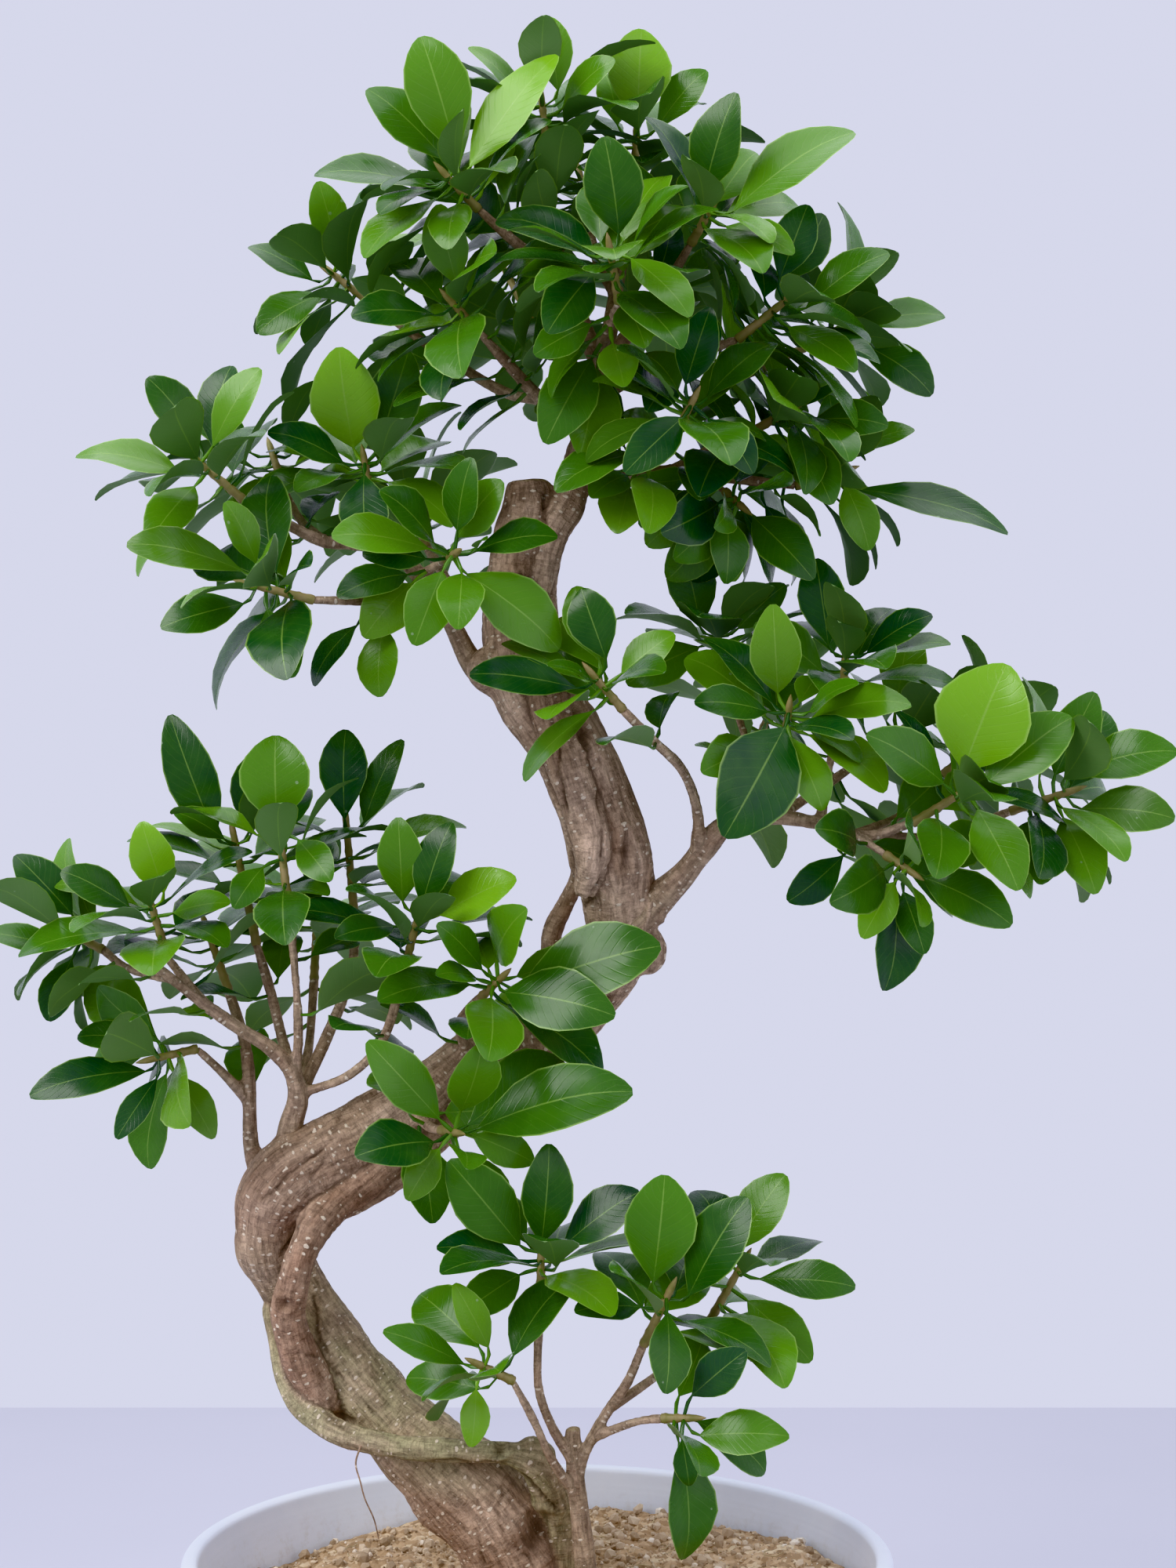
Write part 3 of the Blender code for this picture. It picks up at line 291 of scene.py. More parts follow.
def grain(points, size, seed):
    """Lattice noise from -1 to 1: random numbers at the corners of cubes of this size,
    blended inside each cube by the smoothstep 3f^2 - 2f^3 along each axis."""
    cell = points / size + 512.0
    base = np.floor(cell).astype(int)
    f = cell - base
    f = f * f * (3 - 2 * f)
    table = np.random.default_rng(seed).uniform(-1, 1, (48, 48, 48))
    total = np.zeros(points.shape[:-1])
    for corner in np.ndindex(2, 2, 2):
        weight = np.prod(np.where(corner, f, 1 - f), axis=-1)
        at = (base + corner) % 48
        total += weight * table[at[..., 0], at[..., 1], at[..., 2]]
    return total


def soil_height(x, y):
    """Height of the soil: a low mound, a dip at the wall, clods 14, 6 and 2.5 mm across
    made by folding lattice noise so that its creases become the cracks between crumbs."""
    place = np.stack([x, y, np.zeros_like(x)], axis=-1)
    out = np.hypot(x, y) / SOIL_RADIUS
    clods = (0.0040 * grain(place, 0.030, 3)
             + 0.0028 * (0.45 - np.abs(grain(place, 0.011, 4)))
             + 0.0018 * (0.45 - np.abs(grain(place, 0.0050, 5)))
             + 0.0009 * (0.40 - np.abs(grain(place, 0.0024, 6))))
    calm = np.clip((1.06 - out) * 9, 0.25, 1)
    return SOIL_EDGE + SOIL_MOUND * (1 - out ** 2) + SOIL_SLOPE * (x + y) + clods * calm


angle = np.linspace(0, 2 * math.pi, SOIL_SIDES, endpoint=False)
reach = SOIL_RADIUS * np.linspace(0.004, 1.0, SOIL_RINGS)[:, None]
x, y = reach * np.cos(angle), reach * np.sin(angle)
top = np.stack([x, y, soil_height(x, y)], axis=2)
skirt = [np.stack([r * np.cos(angle), r * np.sin(angle), np.full(SOIL_SIDES, z)], 1)
         for r, z in ((0.1462, 0.180), (0.1330, 0.100), (0.1148, 0.012), (0.1090, 0.0046))]
grid = np.concatenate([top, np.array(skirt)])
rows = len(grid)
centre = [[0, 0, float(soil_height(np.zeros(1), np.zeros(1))[0])], [0, 0, 0.0046]]
quads = ring_quads(rows, SOIL_SIDES)[:, OUTWARD]
j = np.arange(SOIL_SIDES)
k = (j + 1) % SOIL_SIDES
top_middle = np.full(SOIL_SIDES, rows * SOIL_SIDES)
last = (rows - 1) * SOIL_SIDES
lid = np.stack([top_middle, j, k], 1)
under = np.stack([top_middle + 1, last + k, last + j], 1)
soil = mesh_piece("potting_soil", np.vstack([grid.reshape(-1, 3), centre]),
                  quads.tolist() + lid.tolist() + under.tolist())

# Dry loam: dusty, fully matt; every crumb a slightly different tan, cracks darker.
loam, shader = new_material("dry_sandy_loam")
place = add(loam, "ShaderNodeTexCoord")
crumb = add(loam, "ShaderNodeTexVoronoi", [("Vector", place.outputs["Object"])], Scale=1 / 0.0034)
tone = add(loam, "ShaderNodeSeparateColor", [("Color", crumb.outputs["Color"])])
tan = add(loam, "ShaderNodeValToRGB", [("Fac", tone.outputs[0])])
for at, colour in ((0.0, "#9d8971"), (0.35, "#b8a38a"), (0.7, "#cfbaa1"), (1.0, "#e4d6c2")):
    stop = tan.color_ramp.elements.new(at) if at not in (0.0, 1.0) else \
        tan.color_ramp.elements[-1 if at else 0]
    stop.color = linear(colour)
damp = add(loam, "ShaderNodeTexNoise", [("Vector", place.outputs["Object"])], Scale=22.0, Detail=4.0)
patch = add(loam, "ShaderNodeMapRange", [("Value", damp.outputs["Fac"])],
            From_Min=0.42, From_Max=0.66, To_Min=0.0, To_Max=0.45)
shaded = add(loam, "ShaderNodeMix", [("Factor", patch.outputs[0]), (6, tan.outputs["Color"])],
             data_type="RGBA")
shaded.inputs[7].default_value = linear("#9d8970")
fines = add(loam, "ShaderNodeTexNoise", [("Vector", place.outputs["Object"])],
            Scale=1 / 0.0011, Detail=6.0, Roughness=0.7)
dust = add(loam, "ShaderNodeMix", [("Factor", fines.outputs["Fac"]), (6, shaded.outputs[2])],
           data_type="RGBA", blend_type="OVERLAY")
dust.inputs[7].default_value = linear("#c4b5a0")
loam.node_tree.links.new(dust.outputs[2], shader.inputs["Base Color"])
rough_height = add(loam, "ShaderNodeMath", [(0, crumb.outputs["Distance"]),
                                            (1, fines.outputs["Fac"])], operation="SUBTRACT")
relief = add(loam, "ShaderNodeBump", [("Height", rough_height.outputs[0])],
             Strength=0.7, Distance=0.0012, invert=True)
loam.node_tree.links.new(relief.outputs[0], shader.inputs["Normal"])
shader.inputs["Roughness"].default_value = 0.96
shader.inputs["Specular IOR Level"].default_value = 0.25
soil.data.materials.append(loam)
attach(soil, "root")
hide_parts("soil")


def scatter(name, shape, faces, places, sizes, rng, smooth=False):
    """Copies of one small shape: point = place + size * (turn @ (stretch * corner)),
    with a random rotation (from a random unit quaternion) and stretch for each copy."""
    n = len(places)
    q = rng.normal(size=(n, 4))
    w, a, b, c = (q / np.linalg.norm(q, axis=1)[:, None]).T
    turn = np.stack([1 - 2 * (b * b + c * c), 2 * (a * b - w * c), 2 * (a * c + w * b),
                     2 * (a * b + w * c), 1 - 2 * (a * a + c * c), 2 * (b * c - w * a),
                     2 * (a * c - w * b), 2 * (b * c + w * a), 1 - 2 * (a * a + b * b)],
                    axis=1).reshape(n, 3, 3)
    stretch = rng.uniform(0.65, 1.15, (n, 1, 3))
    knobs = rng.uniform(0.78, 1.12, (n, len(shape), 1))
    corners = np.einsum("nij,nkj->nki", turn, shape[None] * knobs * stretch)
    points = places[:, None] + sizes[:, None, None] * corners
    shifted = (faces[None] + (np.arange(n) * len(shape))[:, None, None]).reshape(-1, faces.shape[1])
    return mesh_piece(name, points.reshape(-1, 3), shifted, smooth)


phi = (1 + 5 ** 0.5) / 2
NUGGET = np.array([(-1, phi, 0), (1, phi, 0), (-1, -phi, 0), (1, -phi, 0), (0, -1, phi),
                   (0, 1, phi), (0, -1, -phi), (0, 1, -phi), (phi, 0, -1), (phi, 0, 1),
                   (-phi, 0, -1), (-phi, 0, 1)]) / 1.9
NUGGET_FACES = np.array([(0, 11, 5), (0, 5, 1), (0, 1, 7), (0, 7, 10), (0, 10, 11), (1, 5, 9),
                         (5, 11, 4), (11, 10, 2), (10, 7, 6), (7, 1, 8), (3, 9, 4), (3, 4, 2),
                         (3, 2, 6), (3, 6, 8), (3, 8, 9), (4, 9, 5), (2, 4, 11), (6, 2, 10),
                         (8, 6, 7), (9, 8, 1)])
rng = np.random.default_rng(21)
out = SOIL_RADIUS * np.sqrt(rng.random(CRUMBS)) * 0.985
turn = rng.random(CRUMBS) * 2 * math.pi
x, y = out * np.cos(turn), out * np.sin(turn)
sizes = 0.0006 + 0.0031 * rng.random(CRUMBS) ** 5
places = np.stack([x, y, soil_height(x, y) + 0.35 * sizes], 1)
crumbs = scatter("soil_crumbs", NUGGET, NUGGET_FACES, places, sizes, rng)
point_attribute(crumbs, "shade", np.repeat(rng.random(CRUMBS), len(NUGGET)))

# The same loam in loose crumbs: each has its own tan, a few are pale grit.
crumb_stuff, shader = new_material("loose_loam_crumb")
shade = add(crumb_stuff, "ShaderNodeAttribute", attribute_name="shade")
tan = add(crumb_stuff, "ShaderNodeValToRGB", [("Fac", shade.outputs["Fac"])])
for at, colour in ((0.0, "#9b876f"), (0.4, "#b8a38a"), (0.85, "#d2c0a8"), (1.0, "#ece3d5")):
    stop = tan.color_ramp.elements.new(at) if at not in (0.0, 1.0) else \
        tan.color_ramp.elements[-1 if at else 0]
    stop.color = linear(colour)
place = add(crumb_stuff, "ShaderNodeTexCoord")
fines = add(crumb_stuff, "ShaderNodeTexNoise", [("Vector", place.outputs["Object"])],
            Scale=1 / 0.0008, Detail=4.0)
relief = add(crumb_stuff, "ShaderNodeBump", [("Height", fines.outputs["Fac"])],
             Strength=0.6, Distance=0.0006)
crumb_stuff.node_tree.links.new(tan.outputs["Color"], shader.inputs["Base Color"])
crumb_stuff.node_tree.links.new(relief.outputs[0], shader.inputs["Normal"])
shader.inputs["Roughness"].default_value = 0.95
shader.inputs["Specular IOR Level"].default_value = 0.25
crumbs.data.materials.append(crumb_stuff)
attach(crumbs, "root")

# Straw and dead rootlets: split dry fibres 8 to 22 mm long, lying on the crumbs.
out = SOIL_RADIUS * np.sqrt(rng.random(STRAWS)) * 0.88
turn = rng.random(STRAWS) * 2 * math.pi
heading = rng.random(STRAWS) * 2 * math.pi
length = rng.uniform(0.006, 0.020, STRAWS)
curl = rng.normal(0, 0.9, STRAWS)
t = np.linspace(-0.5, 0.5, 7)
bend = heading[:, None] + curl[:, None] * t
x = (out * np.cos(turn))[:, None] + length[:, None] * t * np.cos(bend)
y = (out * np.sin(turn))[:, None] + length[:, None] * t * np.sin(bend)
mid = np.stack([x, y, soil_height(x, y).max(axis=1, keepdims=True) * 0.6
                + soil_height(x, y) * 0.4 + 0.0006], axis=2)
across = np.stack([-np.sin(bend), np.cos(bend), np.zeros_like(bend)], axis=2)
thick = (0.00035 * (1.1 - 1.6 * t ** 2))[None, :, None]
ring = np.stack([mid + across * thick, mid + [0, 0, 0.00025],
                 mid - across * thick, mid - [0, 0, 0.00025]], axis=2)
side = np.vstack([ring_quads(7, 4), [[3, 2, 1, 0], [24, 25, 26, 27]]])
faces = (side[None] + (np.arange(STRAWS) * 28)[:, None, None]).reshape(-1, 4)
straw = mesh_piece("straw_bits", ring.reshape(-1, 3), faces)
dry, shader = new_material("dry_straw_fibre")
place = add(dry, "ShaderNodeTexCoord")
streak = add(dry, "ShaderNodeTexNoise", [("Vector", place.outputs["Object"])],
             Scale=120.0, Detail=3.0)
tan = add(dry, "ShaderNodeValToRGB", [("Fac", streak.outputs["Fac"])])
tan.color_ramp.elements[0].color = linear("#8a7350")
tan.color_ramp.elements[1].color = linear("#d9c9a2")
dry.node_tree.links.new(tan.outputs["Color"], shader.inputs["Base Color"])
shader.inputs["Roughness"].default_value = 0.7
straw.data.materials.append(dry)
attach(straw, "root")


# ============================== the trunk ==============================
# Living fig wood, trained for years into two bends. Aerial roots and old stems
# have fused to it: one wraps the lower bend, one lies red against it, one
# leaves a loop at the back, and the top ends in a sawn stump.

SOIL_Z = 0.194

# Skeleton points are (x, y, height above the soil, radius) in millimetres, along the
# growth of the wood; STRANDS are the old stems and aerial roots fused to the trunk.
TRUNK = [
    (5, 4, -46, 20), (5, 4, -14, 26.3), (-4, 2, 10, 23.5), (-16, 0, 33, 24.1),
    (-30, 0, 51, 23.4), (-47, 2, 66, 20.6), (-66, 6, 82, 18.2), (-83, 10, 100, 17.2),
    (-97, 14, 118, 16.5), (-109, 16, 135, 15.5), (-118, 14, 151, 15.4), (-122, 6, 166, 16.4),
    (-121, 0, 181, 16.7), (-112, -2, 195, 17), (-98, 0, 203, 17.4), (-82, 4, 210, 17.1),
    (-65, 8, 221, 15.7), (-48, 12, 233, 14.3), (-29, 16, 248, 13.3), (-10, 20, 256, 13),
    (8, 22, 261, 13.4), (21, 22, 271, 14.1), (31, 20, 286, 15.1), (36, 16, 302, 15.5),
    (36, 12, 319, 16.8), (33, 8, 337, 18.2), (29, 4, 355, 18.2), (23, 2, 372, 17.8),
    (16, 2, 387, 18.1), (6, 4, 401, 18.5), (-4, 6, 418, 18.9), (-8, 6, 436, 17.8),
    (-8, 6, 454, 17.1), (-6, 4, 471, 15.7), (-5, 2, 485, 14.9), (-4, 2, 498, 12.1),
    (-4, 2, 510, 10)]

STRANDS = {
    "wrap": [
        (12, -4, -40, 8), (10, -6, 0, 8.5), (9, -7, 28, 8.5), (8, -8, 43, 8.5), (5, -14, 57, 8.8),
        (0, -20, 68, 8), (-10, -24, 74, 6), (-23, -26, 76, 5.2), (-43, -26, 77, 5.2),
        (-63, -22, 78, 5.2), (-82, -18, 81, 5.2), (-96, -12, 86, 5.6), (-107, -8, 94, 5.6),
        (-115, -4, 107, 4.8), (-119, 2, 121, 4.6), (-122, 8, 135, 4.6), (-118, 14, 147, 4.6)],
    "red": [
        (-60, 2, 208, 8), (-79, -4, 193, 9.2), (-89, -8, 185, 8.5), (-98, -14, 176, 7.7),
        (-104, -18, 165, 7.3), (-108, -18, 151, 7.7), (-111, -14, 134, 8.1),
        (-106, -10, 115, 8.4), (-100, -6, 100, 7.8), (-92, 0, 90, 6.4), (-84, 6, 84, 5)],
    "under": [
        (-97, 2, 178, 6), (-80, 2, 186, 7.1), (-66, 4, 195, 7.8), (-52, 6, 208, 7.8),
        (-36, 10, 222, 7.2), (-18, 14, 243, 6.5)],
    "handle": [
        (25, 8, 352, 7), (19, 22, 332, 4.9), (12, 30, 316, 4.6), (6, 32, 300, 4.6),
        (8, 30, 284, 4.8), (16, 24, 268, 5.5)],
    "face": [
        (20, -4, 322, 5), (24, -12, 341, 7.7), (21, -13, 358, 9.1), (15, -12, 376, 9.8),
        (9, -11, 393, 9.8), (4, -9, 411, 9.2), (0, -5, 428, 7.1)],
    "neck": [
        (-1, -2, 462, 9), (5, -4, 483, 8.5), (13, -2, 498, 8.1), (17, 0, 511, 7.8),
        (21, 1, 526, 7.6), (26, 4, 543, 7.1)]}

# In each limb the first path is the limb itself and the others are its branches.
LIMBS = {
    "limb_right": [
        [(41, 10, 306, 9.3), (54, 8, 319, 7.9), (65, 4, 330, 6.4), (75, -2, 343, 5.7),
         (85, -8, 354, 4.9), (103, -14, 358, 4.2), (124, -18, 355, 3.1), (145, -22, 349, 2.8),
         (167, -24, 355, 2.3)],
        [(100, -12, 357, 3.2), (105, -20, 376, 2.6), (110, -28, 393, 2.3)],
        [(107, -12, 357, 3.2), (130, 10, 371, 2.7), (150, 30, 384, 2.4)],
        [(71, 2, 335, 3.6), (72, -14, 358, 2.9), (65, -24, 378, 2.5), (52, -31, 391, 2.4),
         (38, -35, 405, 2.2)],
        [(93, -8, 356, 2.8), (96, 10, 385, 2.3), (90, 25, 410, 2.2), (85, 30, 427, 2.2)],
        [(126, -18, 354, 2.8), (133, 0, 386, 2.3), (139, 10, 412, 2.1)],
        [(84, -6, 353, 3.2), (89, 45, 369, 2.8), (102, 85, 387, 2.5)],
        [(140, -21, 351, 2.4), (154, -32, 341, 2.1)],
        [(141, -20, 350, 2.4), (166, 15, 358, 2.3), (182, 40, 372, 2.2)],
        [(152, -22, 350, 2.3), (182, -6, 349, 2.3), (214, 0, 360, 2.1)],
    ],
    "limb_left": [
        [(-13, 4, 413, 7.1), (-28, 2, 425, 5.7), (-37, 0, 441, 4.6), (-44, -4, 454, 4.2),
         (-54, -8, 467, 3.9), (-65, -10, 477, 3.5), (-81, -14, 480, 3.2), (-96, -16, 481, 2.8),
         (-115, -18, 490, 2.6), (-131, -20, 499, 2.3)],
        [(-46, -5, 457, 3.2), (-65, -20, 454, 2.6), (-81, -32, 453, 2.4), (-98, -40, 453, 2.1)],
        [(-66, -10, 477, 3.2), (-72, -4, 491, 2.5), (-76, 0, 505, 2.3)],
        [(-39, 0, 447, 3.2), (-43, 40, 466, 2.7), (-54, 70, 485, 2.4)],
        [(-53, -8, 466, 2.8), (-43, -26, 470, 2.3), (-40, -34, 471, 2.1)],
        [(-95, -16, 481, 2.6), (-108, 12, 492, 2.3), (-117, 26, 506, 2.2)],
    ],
    "limb_crown": [
        [(25, 3, 534, 6.8), (28, 4, 547, 6.1), (28, 4, 561, 4.6), (22, 0, 576, 3.9),
         (14, -6, 598, 3.2), (7, -10, 622, 2.6), (5, -12, 652, 2.1)],
        [(28, 6, 555, 4.3), (32, 10, 576, 3.8), (37, 20, 607, 3.1), (42, 24, 631, 2.5),
         (44, 24, 651, 2.2)],
        [(28, 4, 561, 3.9), (40, -10, 573, 3.3), (56, -25, 591, 2.8), (68, -35, 610, 2.1)],
        [(29, 4, 550, 3.9), (51, -10, 559, 3.2), (68, -20, 563, 2.8), (89, -28, 569, 2.1)],
        [(27, 2, 548, 3.6), (5, -6, 544, 3.0), (-11, -14, 558, 2.6), (-26, -20, 574, 2.1)],
        [(2, -6, 545, 2.8), (-17, 20, 553, 2.7), (-46, 30, 572, 2.5), (-76, 34, 594, 2.2)],
        [(14, -6, 598, 2.8), (-9, -20, 613, 2.4), (-26, -26, 627, 2.1)],
        [(30, 6, 558, 3.6), (37, 50, 579, 3.1), (49, 85, 599, 2.5)],
        [(26, 6, 552, 3.6), (12, 50, 572, 3.1), (-4, 80, 594, 2.5)],
        [(28, 4, 564, 3.2), (30, -35, 569, 2.6), (36, -60, 580, 2.0)],
        [(65, -18, 562, 2.8), (91, 20, 560, 2.5), (118, 40, 573, 2.2)],
        [(35, 16, 597, 2.9), (27, 44, 618, 2.4), (23, 58, 638, 2.2)],
    ],
    "limb_spray": [
        [(14, 0, 506, 4.3), (37, 6, 511, 3.6), (62, 10, 515, 3.0), (91, 14, 512, 2.5),
         (118, 16, 509, 2.2)],
        [(60, 10, 515, 2.9), (79, 0, 524, 2.5), (97, -8, 531, 2.1)],
        [(76, 12, 513, 2.5), (85, 4, 505, 2.1)],
        [(41, 6, 512, 2.9), (50, -26, 516, 2.4), (60, -46, 523, 2.1)],
    ],
    "limb_low": [
        [(-114, 2, 195, 8.5), (-112, 0, 216, 5.7), (-108, -4, 231, 5.0), (-111, -8, 244, 4.2),
         (-120, -12, 254, 3.7), (-133, -16, 263, 3.2), (-148, -20, 274, 2.8),
         (-164, -22, 287, 2.6), (-181, -24, 300, 2.4)],
        [(-110, -6, 239, 3.2), (-116, 6, 255, 2.7), (-122, 12, 276, 2.5), (-129, 14, 299, 2.3)],
        [(-109, -6, 236, 2.8), (-107, -14, 267, 2.3), (-110, -16, 308, 2.1)],
        [(-108, 0, 231, 3.5), (-96, 12, 258, 2.9), (-87, 18, 282, 2.5), (-84, 20, 304, 2.3)],
        [(-106, -4, 233, 2.8), (-84, -12, 242, 2.3), (-69, -14, 258, 2.3), (-61, -16, 283, 2.1)],
        [(-111, 4, 223, 3.2), (-108, 40, 248, 2.7), (-108, 68, 279, 2.2)],
        [(-146, -19, 272, 2.8), (-162, -6, 288, 2.3), (-167, -4, 294, 2.1)],
        [(-161, -22, 285, 2.4), (-185, -2, 289, 2.3), (-198, 6, 297, 2.1)],
    ],
    "limb_outer": [
        [(-124, 8, 189, 6.4), (-131, 10, 207, 3.9), (-132, 12, 233, 3.4), (-135, 18, 254, 2.9),
         (-144, 30, 277, 2.4)],
        [(-132, 12, 227, 2.9), (-143, 8, 240, 2.5), (-155, 4, 252, 2.1)],
    ],
    "spur_bend": [
        [(-31, 8, 247, 3.6), (-35, -6, 263, 2.6), (-31, -12, 271, 2.3), (-25, -14, 277, 2.1)],
    ],
    "spur_loop": [
        [(-56, 4, 223, 3.2), (-48, -22, 220, 2.4), (-42, -34, 220, 2.1)],
    ],
    "side_stem": [
        [(27, -36, -52, 4.1), (25, -36, -14, 5.9), (23, -36, 14, 5.5), (21, -36, 35, 5.0),
         (19, -36, 52, 4.3), (17, -35, 69, 3.8), (16, -34, 89, 3.1)],
        [(18, -35, 67, 2.9), (22, -37, 80, 2.6), (31, -40, 97, 2.4), (40, -43, 111, 2.2),
         (47, -46, 128, 2.1)],
        [(17, -35, 73, 2.6), (7, -38, 90, 2.2), (1, -39, 108, 2.1), (1, -38, 130, 2.1),
         (2, -36, 152, 1.9)],
        [(17, -36, 60, 2.4), (7, -44, 77, 2.1), (-1, -50, 96, 1.9), (-10, -54, 114, 1.9)],
        [(34, -41, 100, 2.4), (58, -22, 113, 2.1), (74, -12, 126, 1.9)],
        [(26, -38, 86, 2.4), (43, -54, 96, 2.0), (55, -60, 99, 1.9)],
    ],
}


TREE_SCALE = 0.001       # the skeleton is written in millimetres


def unit(v):
    """Vector of length one."""
    return v / np.linalg.norm(v)


def tree_point(p):
    """Skeleton point in metres, in the part's frame."""
    return np.array(p[:3], dtype=float) * TREE_SCALE + np.array([0.0, 0.0, SOIL_Z])


def spline(path, step):
    """Points and radii along a Catmull-Rom curve, about one step apart."""
    ctrl = np.array([[*tree_point(p), p[3] * TREE_SCALE] for p in path])
    ends = np.vstack([2 * ctrl[0] - ctrl[1], ctrl, 2 * ctrl[-1] - ctrl[-2]])
    fine = []
    for i in range(len(ctrl) - 1):
        a, b, c, d = ends[i:i + 4]
        t = np.linspace(0.0, 1.0, 9)[:-1, None]
        fine.append(0.5 * (2 * b + (c - a) * t + (2 * a - 5 * b + 4 * c - d) * t ** 2
                           + (3 * b - a - 3 * c + d) * t ** 3))
    fine = np.vstack(fine + [ctrl[-1:]])
    walk = np.r_[0.0, np.cumsum(np.linalg.norm(np.diff(fine[:, :3], axis=0), axis=1))]
    count = max(2, int(round(walk[-1] / step)))
    at = np.linspace(0.0, walk[-1], count + 1)
    return np.column_stack([np.interp(at, walk, fine[:, k]) for k in range(4)])


def frames(points):
    """Side and up vectors along a path, carried without twist."""
    ahead = np.gradient(points, axis=0)
    ahead /= np.linalg.norm(ahead, axis=1)[:, None]
    side = unit(np.cross(ahead[0], [0.31, 0.90, 0.23]))
    sides = []
    for t in ahead:
        side = unit(side - t * np.dot(side, t))
        sides.append(side)
    sides = np.array(sides)
    return ahead, sides, np.cross(ahead, sides)


def fine_tube(path, sides, step, swell=1.0, wobble=0.0, seed=0):
    """Round stem on a grid: point (i, j) = centre_i + r (cos a_j side_i + sin a_j up_i),
    where r is the path's radius times a slow noise along and around the stem."""
    rings = spline(path, step)
    ahead, side, up = frames(rings[:, :3])
    turn = np.linspace(0, 2 * math.pi, sides, endpoint=False)
    out = (np.cos(turn)[None, :, None] * side[:, None] + np.sin(turn)[None, :, None] * up[:, None])
    radius = np.repeat(rings[:, 3:4], sides, axis=1) * swell
    if wobble:
        radius = radius * (1 + wobble * grain(rings[:, None, :3] + 0.6 * rings[:, 3:4, None] * out,
                                              0.016, seed))
    points = rings[:, None, :3] + radius[:, :, None] * out
    faces = ring_quads(len(rings), sides).tolist()
    last = (len(rings) - 1) * sides
    faces.append(list(range(sides))[::-1])
    faces.append(list(range(last, last + sides)))
    return points.reshape(-1, 3), faces


def lump(centre, sizes, seed):
    """Knob of bark: a globe of latitude and longitude stretched to three half axes (mm)."""
    lat = np.radians(np.linspace(-90, 90, 13))[1:-1]
    lon = np.linspace(0, 2 * math.pi, 18, endpoint=False)
    ball = np.stack([np.cos(lat)[:, None] * np.cos(lon), np.cos(lat)[:, None] * np.sin(lon),
                     np.repeat(np.sin(lat)[:, None], 18, 1)], 2).reshape(-1, 3)
    ball = np.vstack([ball, [[0, 0, -1], [0, 0, 1]]])
    ball *= 1 + 0.12 * grain(ball, 0.7, seed)[:, None]
    faces = ring_quads(11, 18).tolist()
    j = np.arange(18)
    k = (j + 1) % 18
    faces += np.stack([np.full(18, 198), k, j], 1).tolist()
    faces += np.stack([np.full(18, 199), 180 + j, 180 + k], 1).tolist()
    return tree_point(centre) + ball * np.array(sizes) * TREE_SCALE, faces


def grown_together(parts, voxel, smoothings):
    """One closed skin over overlapping stems: the parts are joined, remeshed on a cubic
    grid of this size, and each point is moved to the mean of its neighbours a few times."""
    points = np.vstack([part[0] for part in parts])
    starts = np.cumsum([0] + [len(part[0]) for part in parts[:-1]])
    faces = [[v + s for v in face] for part, s in zip(parts, starts) for face in part[1]]
    rough = mesh_piece("rough", points, faces)
    remesh = rough.modifiers.new("skin", "REMESH")
    remesh.mode = "VOXEL"
    remesh.voxel_size = voxel
    skin = bpy.data.meshes.new_from_object(
        rough.evaluated_get(bpy.context.evaluated_depsgraph_get()))
    bpy.data.objects.remove(rough)
    points = np.zeros(len(skin.vertices) * 3)
    skin.vertices.foreach_get("co", points)
    points = points.reshape(-1, 3)
    edges = np.zeros(len(skin.edges) * 2, dtype=int)
    skin.edges.foreach_get("vertices", edges)
    a, b = edges.reshape(-1, 2).T
    degree = np.bincount(np.r_[a, b], minlength=len(points))[:, None]
    for _ in range(smoothings):
        total = np.zeros_like(points)
        np.add.at(total, a, points[b])
        np.add.at(total, b, points[a])
        points = 0.4 * points + 0.6 * total / degree
    return skin, points


def point_normals(skin, points):
    """Outward unit normals of a skin whose points have moved."""
    skin.vertices.foreach_set("co", points.ravel())
    skin.update()
    normals = np.zeros(len(points) * 3)
    skin.vertex_normals.foreach_get("vector", normals)
    return normals.reshape(-1, 3)


def nearest_path(points, paths):
    """For each point: the nearest path's number, its place as if that stem stood straight
    (across, across, along), and how much deeper the second nearest path's skin lies."""
    depth, straight = [], []
    for path in paths:
        rings = spline(path, 0.004)
        tree = KDTree(len(rings))
        for number, ring in enumerate(rings[:, :3]):
            tree.insert(ring, number)
        tree.balance()
        found = [tree.find(p) for p in points]
        index = np.array([f[1] for f in found])
        away = np.array([f[2] for f in found])
        depth.append(away - rings[index, 3])
        ahead, side, up = frames(rings[:, :3])
        out = points - rings[index, :3]
        straight.append(np.stack([(out * side[index]).sum(1), (out * up[index]).sum(1),
                                  index * 0.004 + (out * ahead[index]).sum(1)], 1))
    depth = np.array(depth)
    order = np.argsort(depth, axis=0)
    which = order[0]
    pick = np.arange(len(points))
    second = np.full(len(points), 1.0)
    if len(paths) > 1:
        second = depth[order[1], pick] - depth[which, pick]
    return which, np.array(straight)[which, pick], second


